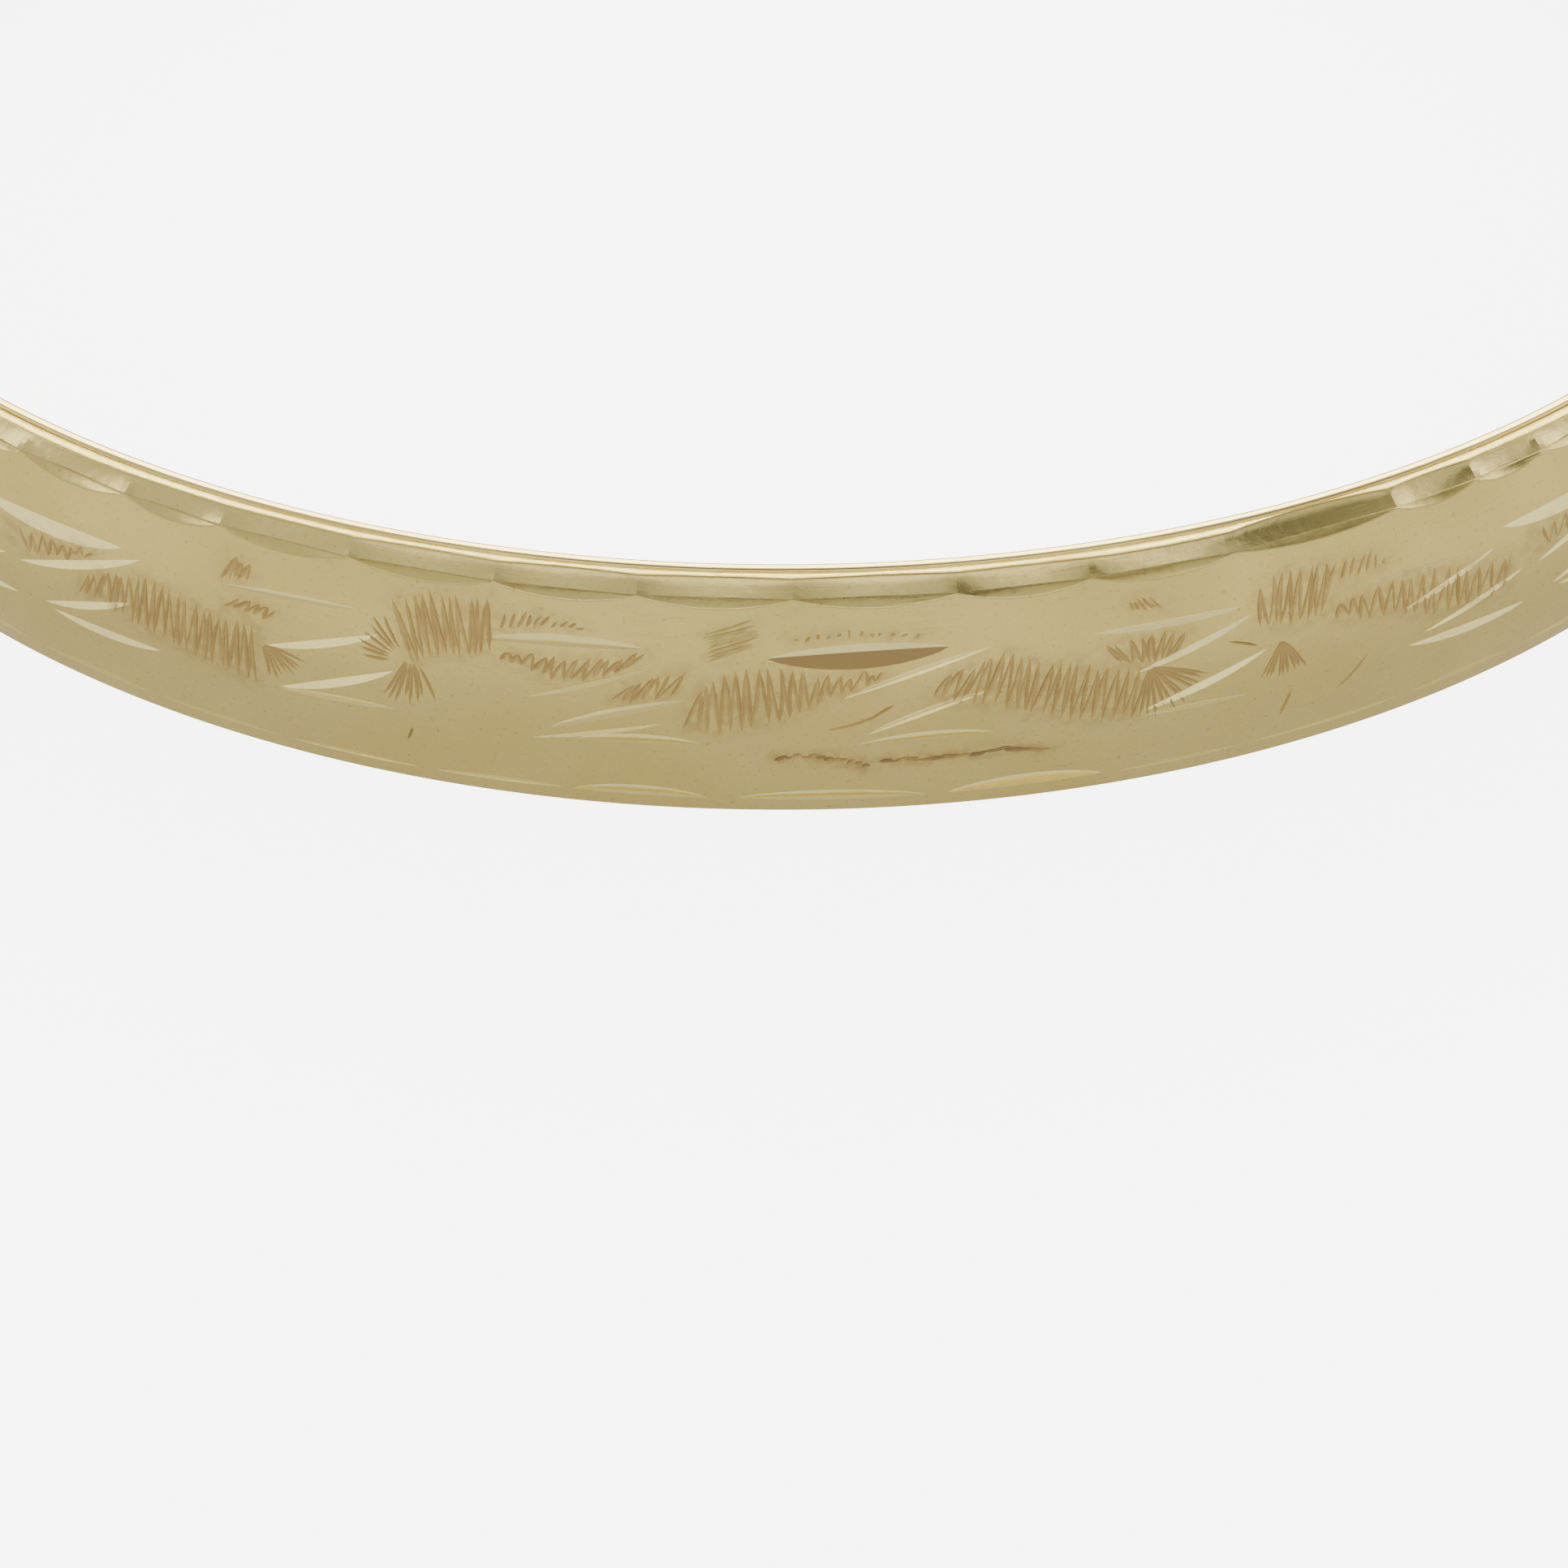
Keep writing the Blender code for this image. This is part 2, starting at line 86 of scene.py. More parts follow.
@dataclass(frozen=True)
class Oval:
    """The bangle's outline seen from above and its domed section.

    Attributes:
        length: half the outline's length.
        breadth: half the outline's breadth.
        width: the band's height above the lower rim.
        wall: the band's whole thickness at mid height.
        rise: how far the dome stands out at mid height beyond its rims.
        seat: how far out the outer shell's turned-in rim begins.
        rim_cut: how far out the rim ends and the bright-cut facets begin.
        shoulder: how far below the rim the domed face begins.
        sheet: thickness of the gold sheet.
        barrel_x: where the hinge pin's middle lies along the oval's length.
        groove: radius of the hollow that clears the hinge barrel.
        gap: half the gap between the two halves' ends.
    """

    length: float = 32.5
    breadth: float = 28.3
    width: float = 7.9
    wall: float = 1.6
    rise: float = 0.57
    seat: float = -1.27
    rim_cut: float = -0.90
    shoulder: float = 0.35
    sheet: float = 0.35
    barrel_x: float = -32.3
    groove: float = 0.97
    gap: float = 0.05

    def table(self) -> tuple[np.ndarray, np.ndarray]:
        """Tabulate turn against distance along the outline.

        Returns:
            The distances and the turns, both rising, over two whole rounds.
        """
        turn = np.linspace(-2.5 * math.pi, 1.5 * math.pi, 16001)
        step = np.hypot(
            np.diff(self.length * np.cos(turn)), np.diff(self.breadth * np.sin(turn))
        )
        along = np.concatenate([[0.0], np.cumsum(step)])
        return along - np.interp(-math.pi / 2, turn, along), turn

    def half_length(self) -> float:
        """Give the distance from the middle of the front to the clasp."""
        along, turn = self.table()
        return float(np.interp(0.0, turn, along))

    def dome(self, height: np.ndarray) -> np.ndarray:
        """Give how far out the domed face lies: minus the rise times the square of the offset."""
        across = (np.asarray(height) - self.width / 2) / (self.width / 2)
        return -self.rise * across * across

    def place(self, along: np.ndarray, out: np.ndarray, height: np.ndarray) -> np.ndarray:
        """Turn band places into points in metres.

        Args:
            along: distance along the outline.
            out: distance outwards from the outline, along its normal.
            height: height above the lower rim.

        Returns:
            An array of points, one per place.
        """
        distances, turns = self.table()
        turn = np.interp(along, distances, turns)
        east, north = np.cos(turn) / self.length, np.sin(turn) / self.breadth
        size = np.hypot(east, north)
        x = self.length * np.cos(turn) + out * east / size
        y = self.breadth * np.sin(turn) + out * north / size
        return np.stack([x, y, np.broadcast_to(height, x.shape)], axis=-1) * MM

    def hinge_end(self, out: np.ndarray) -> np.ndarray:
        """Give how far a half stops short of the hinge line: the barrel's groove, or the plain gap."""
        off = -0.2 - np.asarray(out)
        inside = np.clip(self.groove**2 - off * off, 0.0, None)
        return np.maximum(np.sqrt(inside), self.gap)


OVAL = Oval()
FRONT_REACH = OVAL.half_length()


# --------------------------------------------------------------------------------------------------
# Meshes
# --------------------------------------------------------------------------------------------------


def grid_faces(rows: int, columns: int, wrap_columns: bool) -> np.ndarray:
    """List the four-sided faces of a grid of points.

    Args:
        rows: number of rows of points.
        columns: number of points in a row.
        wrap_columns: whether the last column joins the first.

    Returns:
        An array of four point numbers per face.
    """
    across = columns if wrap_columns else columns - 1
    row, column = np.meshgrid(np.arange(rows - 1), np.arange(across), indexing="ij")
    after = (column + 1) % columns
    corners = [row * columns + column, row * columns + after]
    corners += [(row + 1) * columns + after, (row + 1) * columns + column]
    return np.stack(corners, axis=-1).reshape(-1, 4)


def crisp_edges(shape: bmesh.types.BMesh) -> None:
    """Shade every face smooth, and keep crisp the edges that turn more than their faces' limits."""
    limit = shape.faces.layers.float["crisp"]
    for face in shape.faces:
        face.smooth = True
    for edge in shape.edges:
        if len(edge.link_faces) == 2:
            first, second = edge.link_faces
            allowed = max(first[limit], second[limit])
            edge.smooth = edge.calc_face_angle(0.0) < math.radians(allowed)


@dataclass
class Piece:
    """A finished mesh on its way into the scene.

    Attributes:
        name: the object's name.
        points: its points in metres.
        faces: lists of point numbers.
        flat: a flat layout coordinate per point, in millimetres, for the finish to follow.
        marks: named numbers, one per face, for the finish to follow.
        sharp: edges that turn more than this many degrees stay crisp.
        crisp: the same limit face by face, where it differs; the larger of two neighbours' limits holds.
        close_ends: whether open ends are filled.
        shades: named numbers, one per point, that fade from point to point.
    """

    name: str
    points: np.ndarray
    faces: list
    flat: np.ndarray | None = None
    marks: dict[str, np.ndarray] = field(default_factory=dict)
    sharp: float = 30.0
    crisp: np.ndarray | None = None
    close_ends: bool = False
    shades: dict[str, np.ndarray] = field(default_factory=dict)

    def build(self) -> bpy.types.Object:
        """Make the object, close it, face it outwards and shade it.

        Returns:
            The new object, linked to the scene.
        """
        mesh = bpy.data.meshes.new(self.name)
        mesh.from_pydata(self.points.tolist(), [], [list(f) for f in self.faces])
        if self.flat is not None:
            layer = mesh.uv_layers.new(name="band")
            loops = np.empty(len(mesh.loops), dtype=np.int32)
            mesh.loops.foreach_get("vertex_index", loops)
            layer.data.foreach_set("uv", self.flat[loops].astype(np.float32).ravel())
        limits = self.crisp if self.crisp is not None else np.full(len(mesh.polygons), self.sharp)
        for label, values in {**self.marks, "crisp": limits}.items():
            kept = mesh.attributes.new(label, "FLOAT", "FACE")
            kept.data.foreach_set("value", values.astype(np.float32))
        for label, values in self.shades.items():
            kept = mesh.attributes.new(label, "FLOAT", "POINT")
            kept.data.foreach_set("value", values.astype(np.float32))
        shape = bmesh.new()
        shape.from_mesh(mesh)
        bmesh.ops.remove_doubles(shape, verts=shape.verts, dist=4e-7)
        if self.close_ends:
            rim = [e for e in shape.edges if e.is_boundary]
            bmesh.ops.holes_fill(shape, edges=rim, sides=0)
        bmesh.ops.recalc_face_normals(shape, faces=shape.faces)
        if shape.calc_volume(signed=True) < 0:
            bmesh.ops.reverse_faces(shape, faces=shape.faces)
        crisp_edges(shape)
        shape.to_mesh(mesh)
        shape.free()
        made = bpy.data.objects.new(self.name, mesh)
        bpy.context.scene.collection.objects.link(made)
        return made


def turned(name: str, profile: list[tuple[float, float]], centre: tuple, axis: str = "Z",
           sides: int = 64) -> Piece:
    """Turn a profile about an axis.

    Point (n, k) is the profile's k-th radius carried to the n-th of the turn's equal steps.

    Args:
        name: the piece's name.
        profile: (radius, distance along the axis) pairs; a zero radius closes the end.
        centre: a point on the axis from which the distances are counted.
        axis: X or Z.
        sides: steps round the axis.

    Returns:
        The piece.
    """
    radius = np.array([p[0] for p in profile])
    along = np.array([p[1] for p in profile])
    turn = np.linspace(0.0, 2 * math.pi, sides, endpoint=False)[:, None]
    first = radius * np.cos(turn)
    second = radius * np.sin(turn)
    third = np.broadcast_to(along, first.shape)
    stack = [first, second, third] if axis == "Z" else [third, first, second]
    points = np.stack(stack, axis=-1).reshape(-1, 3) + np.array(centre)
    closed = radius[0] > 0 or radius[-1] > 0
    faces = grid_faces(sides + 1, len(radius), closed) % (sides * len(radius))
    flat = np.stack(np.broadcast_arrays(turn * radius.max(), along), axis=-1).reshape(-1, 2)
    return Piece(name, points * MM, drop_empty(points, faces), flat, sharp=40.0)


def drop_empty(points: np.ndarray, faces: np.ndarray) -> list:
    """Leave out of each face the corners that fall on one another, and the faces left with no area."""
    corner = points[faces]
    same = np.linalg.norm(corner - np.roll(corner, -1, axis=1), axis=2) < 1e-6
    kept = [face[~merged] for face, merged in zip(faces, same)]
    return [face.tolist() for face in kept if len(face) > 2]


def ring(name: str, centre: tuple, major: float, minor: float, sides: int = 24) -> Piece:
    """Bend wire into a flat ring.

    Args:
        name: the piece's name.
        centre: the ring's middle.
        major: radius of the wire's centre line.
        minor: the wire's radius.
        sides: points round the wire.

    Returns:
        The piece.
    """
    count = 120
    turn = np.linspace(0, 2 * math.pi, count, endpoint=False)[:, None]
    round_turn = np.linspace(0, 2 * math.pi, sides, endpoint=False)[None, :]
    reach = major + minor * np.cos(round_turn)
    stack = [reach * np.cos(turn), reach * np.sin(turn), minor * np.sin(round_turn) + 0 * turn]
    points = np.stack(stack, axis=-1).reshape(-1, 3) + np.array(centre)
    faces = grid_faces(count + 1, sides, True) % len(points)
    flat = np.stack(np.broadcast_arrays(turn * major, round_turn * minor), axis=-1).reshape(-1, 2)
    return Piece(name, points * MM, faces.tolist(), flat, sharp=60.0)


def slab(name: str, outline: np.ndarray, low: float, high: float, reach: float, axis: str = "Z") -> Piece:
    """Give a flat outline thickness and rounded edges.

    Each layer is the outline drawn in along its normals by a quarter circle's share of the reach.

    Args:
        name: the piece's name.
        outline: points going round anticlockwise.
        low: where the slab starts along its axis.
        high: where it stops.
        reach: how far the edges are rounded.
        axis: Z for an outline in X and Y, X for an outline in Y and Z.

    Returns:
        The piece.
    """
    run = np.roll(outline, -1, axis=0) - np.roll(outline, 1, axis=0)
    run /= np.linalg.norm(run, axis=1, keepdims=True)
    inward = np.stack([-run[:, 1], run[:, 0]], axis=-1)
    bend = np.radians([90, 60, 30, 0])
    drawn = np.concatenate([1 - np.cos(bend), (1 - np.cos(bend))[::-1]]) * reach
    level = np.concatenate([low + reach * (1 - np.sin(bend)), (high - reach * (1 - np.sin(bend)))[::-1]])
    layers = outline[None] + inward[None] * drawn[:, None, None]
    height = np.broadcast_to(level[:, None], layers.shape[:2])
    first, second = layers[..., 0], layers[..., 1]
    stack = [first, second, height] if axis == "Z" else [height, first, second]
    points = np.stack(stack, axis=-1).reshape(-1, 3)
    count = len(outline)
    faces = grid_faces(len(level), count, True).tolist()
    faces += [list(range(count)), list(range(len(points) - count, len(points)))]
    flat = np.stack([layers[..., 0] + height, layers[..., 1]], axis=-1).reshape(-1, 2)
    return Piece(name, points * MM, faces, flat, sharp=50.0)


def joined(name: str, parts: list[Piece]) -> Piece:
    """Put several closed shapes that overlap one another into one piece."""
    faces, points, flat, count = [], [], [], 0
    for part in parts:
        points.append(part.points)
        flat.append(part.flat)
        faces += [[v + count for v in face] for face in part.faces]
        count += len(part.points)
    return Piece(name, np.concatenate(points), faces, np.concatenate(flat), sharp=45.0)


# --------------------------------------------------------------------------------------------------
# The engraving
# --------------------------------------------------------------------------------------------------


@dataclass(frozen=True)
class Cut:
    """One graver cut: a V between two tips, widest near its middle.

    Attributes:
        start: (along, height) of one tip.
        end: (along, height) of the other.
        above: widest reach of the wall above the deepest line.
        below: widest reach of the wall below it.
        depth: depth at the widest place.
        bow: how far the deepest line arches away from the straight line between the tips.
        steps: how many lengths the outline is drawn in.
        blunt: 0.8 for a leaf's long taper; nearer 0 for a stroke that keeps its width.
        bright: how much painted highlight colour, together with a polished roughness, the walls above and
            below the deepest line carry, 0 to 1.
        stain: how brown those two walls are, 0 to 1, from dirt in the cuts and from painted shade in the
            grooves.
    """

    start: tuple[float, float]
    end: tuple[float, float]
    above: float
    below: float
    depth: float
    bow: float = 0.0
    steps: int = 4
    blunt: float = 0.35
    bright: tuple[float, float] = (0.0, 0.0)
    stain: tuple[float, float] = (0.9, 0.9)

    def swell(self, part: np.ndarray) -> np.ndarray:
        """Give the share of full width: four times the part gone times the part left, to a power."""
        gone = np.clip(part, 0.0, 1.0)
        return np.clip(4 * gone * (1 - gone), 0.0, 1.0) ** self.blunt

    def shifted(self, along: float) -> Cut:
        """Give the same cut further along the band."""
        start, end = (self.start[0] + along, self.start[1]), (self.end[0] + along, self.end[1])
        return replace(self, start=start, end=end)

    def axes(self) -> tuple[np.ndarray, np.ndarray, float]:
        """Give the unit directions along and across the cut, across pointing upwards, and its length."""
        run = np.subtract(self.end, self.start)
        size = float(np.hypot(*run))
        run = run / size
        across = np.array([-run[1], run[0]])
        return run, across, size

    def lines(self) -> list[np.ndarray]:
        """Draw the deepest line and the two edges, tip to tip."""
        run, across, size = self.axes()
        part = np.linspace(0, 1, self.steps + 1)[:, None]
        middle = np.array(self.start) + run * part * size + across * self.bow * 4 * part * (1 - part)
        swell = self.swell(part)
        return [middle, middle + across * self.above * swell, middle - across * self.below * swell]

    def sink(self, places: np.ndarray) -> tuple[np.ndarray, np.ndarray]:
        """Give the cut's depth at flat places, full on the deepest line and nothing at the edges.

        Args:
            places: flat places, one per row.

        Returns:
            The depths, and whether each place lies above the deepest line.
        """
        run, across, size = self.axes()
        offset = places - np.array(self.start)
        part = offset @ run / size
        off = offset @ across - self.bow * 4 * part * (1 - part)
        swell = self.swell(part)
        reach = np.where(off > 0, self.above, self.below) * swell
        share = 1 - np.abs(off) / np.maximum(reach, 1e-9)
        depth = np.where((part > 0) & (part < 1), self.depth * swell * np.clip(share, 0, 1), 0.0)
        return depth, off > 0


def curve_at(points: list[tuple[float, float]], part: np.ndarray) -> np.ndarray:
    """Give places at equal shares of the way along a line drawn through points."""
    line = np.array(points)
    length = np.concatenate([[0], np.cumsum(np.hypot(*np.diff(line, axis=0).T))])
    where = part * length[-1]
    return np.stack([np.interp(where, length, line[:, 0]), np.interp(where, length, line[:, 1])], axis=-1)


def distance_to(outline: np.ndarray, places: np.ndarray) -> np.ndarray:
    """Measure how far places lie outside a closed outline; places inside are at no distance.

    A place is inside if a line from it along the band crosses the outline an odd number of times.

    Args:
        outline: the outline's corners in order.
        places: flat places, one per row.

    Returns:
        The distances.
    """
    first, last = outline[None], np.roll(outline, -1, axis=0)[None]
    spot = places[:, None]
    run = last - first
    part = np.clip(((spot - first) * run).sum(-1) / np.maximum((run * run).sum(-1), 1e-12), 0, 1)
    away = np.linalg.norm(spot - first - run * part[..., None], axis=-1).min(axis=1)
    crosses = (first[..., 1] > spot[..., 1]) != (last[..., 1] > spot[..., 1])
    rise = np.where(np.abs(run[..., 1]) < 1e-12, 1e-12, run[..., 1])
    meet = first[..., 0] + (spot[..., 1] - first[..., 1]) * run[..., 0] / rise
    inside = (crosses & (spot[..., 0] < meet)).sum(axis=1) % 2 == 1
    return np.where(inside, 0.0, away)


@dataclass(frozen=True)
class Shading:
    """A run of close zigzag strokes between a lower and an upper line.

    Attributes:
        low: the lower line.
        high: the upper line.
        strokes: how many strokes.
        weight: half the width of a stroke.
        joined: whether the graver walked to and fro without leaving the metal.
        stain: how brown the strokes are, from dirt and painted shade in their grooves; above 1 they start to
            turn black.
        closeness: how many strokes are cut for each one listed.
    """

    low: list
    high: list
    strokes: int
    weight: float = 0.058
    joined: bool = True
    stain: float = 1.0
    closeness: float = 1.3

    def zone(self) -> np.ndarray:
        """Give the outline of the shaded patch, along its lower line and back along its upper one."""
        return np.array(self.low + self.high[::-1])

    def cuts(self, hand: np.random.Generator) -> list[Cut]:
        """Draw the strokes, each a little off true as a hand leaves it.

        Args:
            hand: source of the small strayings.

        Returns:
            The strokes.
        """
        count = round(self.strokes * self.closeness)
        if self.joined:
            part = np.clip(np.arange(count + 1) / count + hand.normal(0, 0.12 / count, count + 1), 0, 1)
            low = curve_at(self.low, part) + hand.normal(0, 0.04, (count + 1, 2))
            high = curve_at(self.high, part) + hand.normal(0, 0.05, (count + 1, 2))
            turn = np.where((np.arange(count + 1) % 2)[:, None], high, low)
            ends = list(zip(turn[:-1], turn[1:]))
        else:
            part = (np.arange(count) + 0.5) / count
            low = curve_at(self.low, part) + hand.normal(0, 0.03, (count, 2))
            ends = list(zip(low, curve_at(self.high, part) + hand.normal(0, 0.04, (count, 2))))
        made = []
        for first, last in ends:
            reach = self.weight * float(hand.uniform(0.65, 1.3))
            # Brown of dirt and painted groove shade, varied stroke by stroke.
            stain = self.stain * float(hand.uniform(0.6, 1.0))
            bow = float(hand.normal(0, 0.025))
            made.append(Cut(tuple(first), tuple(last), reach, reach, reach * 0.5, bow, 4,
                            stain=(stain, stain * 0.85)))
        return made


@dataclass(frozen=True)
class Fan:
    """Strokes that spread from one place.

    Attributes:
        centre: the place.
        turns: first and last direction, in degrees above the band's length.
        near: distance from the place to the strokes' near ends.
        far: first and last stroke's far end.
        strokes: how many strokes.
        weight: half the width of a stroke.
    """

    centre: tuple[float, float]
    turns: tuple[float, float]
    near: float
    far: tuple[float, float]
    strokes: int
    weight: float = 0.055

    def cuts(self, hand: np.random.Generator) -> list[Cut]:
        """Draw the strokes."""
        turn = np.radians(np.linspace(*self.turns, self.strokes)) + hand.normal(0, 0.03, self.strokes)
        far = np.linspace(*self.far, self.strokes) * hand.uniform(0.88, 1.1, self.strokes)
        aim = np.stack([np.cos(turn), np.sin(turn)], axis=-1)
        start = np.array(self.centre) + aim * self.near
        end = np.array(self.centre) + aim * far[:, None]
        return [
            Cut(tuple(a), tuple(b), self.weight, self.weight, self.weight * 0.5, 0.03, 4)
            for a, b in zip(start, end)
        ]


def leaf(start: tuple, end: tuple, above: float, below: float, bow: float = 0.0,
         stain: float = 0.0) -> Cut:
    """Cut a leaf: a broad bright lens whose wider wall sets its depth.

    Args:
        start: one tip.
        end: the other tip.
        above: widest reach of the wall above the deepest line.
        below: widest reach of the wall below it.
        bow: how far the deepest line arches.
        stain: how much painted shade darkens the wall below.

    Returns:
        The cut.
    """
    depth = 0.22 * max(above, below) + 0.015
    # Painted highlight: a wide lower wall gets the full highlight colour; a narrow one, or one in painted
    # shade, gets 0.3 of it.
    low = 1.0 if below > 0.15 and not stain else 0.3
    return Cut(start, end, above, below, depth, bow, 20, 0.8, (1.0, low), (0.0, stain))


@dataclass(frozen=True)
class Engraving:
    """The hand-engraved scroll of leaves and shading, laid out on the flat band.

    The drawn stretch runs about 22 mm each side of the middle and is repeated to both ends.

    Attributes:
        repeat: how far along the drawn stretch comes round again.
        hand_seed: fixes how each stroke strays.
        spread: how far the brown of a shaded patch reaches past its outline.
    """

    repeat: float = 43.5
    hand_seed: int = 7
    spread: float = 0.30

    def leaves(self) -> list[Cut]:
        """Lay out the leaves, from the hinge side to the clasp side.

        Returns:
            The leaves.
        """
        return [
            leaf((-23.17, 5.85), (-18.25, 5.98), 0.05, 0.46),
            leaf((-21.80, 4.14), (-17.66, 5.81), 0.05, 0.24),
            leaf((-21.08, 3.02), (-18.09, 4.24), 0.05, 0.22),
            leaf((-20.83, 2.85), (-17.26, 2.89), 0.05, 0.26),
            leaf((-15.13, 5.90), (-11.14, 6.14), 0.14, 0.08),
            leaf((-13.91, 4.30), (-10.66, 5.49), 0.05, 0.22),
            leaf((-13.62, 2.93), (-10.28, 4.40), 0.05, 0.24),
            leaf((-13.61, 2.85), (-10.23, 3.05), 0.17, 0.05),
            leaf((-7.88, 5.91), (-3.52, 6.07), 0.30, 0.06, 0.03),
            leaf((-6.66, 4.24), (-3.43, 5.51), 0.07, 0.13),
            leaf((-6.07, 3.27), (-2.51, 4.50), 0.20, 0.10, 0.05),
            leaf((-6.62, 2.79), (-3.10, 3.70), 0.05, 0.12),
            leaf((-5.40, 2.92), (-2.15, 3.04), 0.30, 0.05),
            # Painted shade: the wall below this leaf is darkened almost to black.
            leaf((-0.36, 5.91), (4.38, 6.09), 0.32, 0.44, 0.0, 1.25),
            leaf((1.60, 4.61), (5.50, 5.98), 0.16, 0.06, 0.04),
            leaf((2.25, 3.35), (5.40, 4.59), 0.18, 0.06, 0.05),
            leaf((2.02, 2.99), (5.62, 3.15), 0.30, 0.05),
            leaf((8.17, 6.00), (12.38, 6.00), 0.06, 0.18),
            leaf((9.38, 4.53), (12.60, 5.69), 0.05, 0.18),
            leaf((9.67, 3.17), (13.06, 4.44), 0.05, 0.22),
            leaf((9.67, 2.97), (12.60, 2.96), 0.12, 0.06),
            leaf((15.81, 5.70), (19.61, 5.42), 0.10, 0.14),
            leaf((17.11, 4.34), (20.06, 5.30), 0.05, 0.16),
            leaf((17.97, 3.29), (21.16, 4.16), 0.05, 0.16),
            leaf((17.49, 2.99), (21.41, 2.86), 0.05, 0.28),
        ]

    def small_cuts(self) -> list[Cut]:
        """Lay out the single small strokes and the cuts along the lower border.

        Returns:
            The cuts.
        """
        return [
            Cut((1.24, 3.56), (2.59, 4.05), 0.05, 0.05, 0.05, -0.06, 8),
            Cut((2.45, 4.00), (2.95, 4.35), 0.05, 0.05, 0.05),
            Cut((13.95, 2.75), (13.70, 1.75), 0.05, 0.05, 0.04),
            Cut((11.9, 4.98), (12.8, 4.62), 0.05, 0.05, 0.05),
            Cut((16.2, 3.3), (15.3, 2.2), 0.05, 0.05, 0.04, 0.08, 6),
            Cut((-9.85, 2.5), (-10.05, 1.95), 0.04, 0.04, 0.03),
            leaf((-13.6, 0.85), (-9.8, 0.85), 0.14, 0.04),
            leaf((-9.4, 0.86), (-5.8, 0.90), 0.14, 0.05, 0.0),
            leaf((-5.6, 0.88), (-1.95, 0.86), 0.36, 0.06, 0.04),
            leaf((-1.2, 0.88), (3.95, 0.84), 0.36, 0.06, 0.02),
            leaf((4.45, 0.86), (8.75, 0.90), 0.44, 0.06, 0.03),
            leaf((9.1, 0.86), (12.7, 0.90), 0.12, 0.05, 0.0),
            leaf((13.0, 0.92), (17.6, 0.95), 0.10, 0.08, 0.0),
            leaf((17.9, 0.92), (21.4, 0.95), 0.16, 0.06, 0.0),
            leaf((-21.7, 0.92), (-18.0, 0.90), 0.16, 0.06, 0.0),
            leaf((-17.7, 0.90), (-13.9, 0.86), 0.12, 0.05, 0.0),
        ]

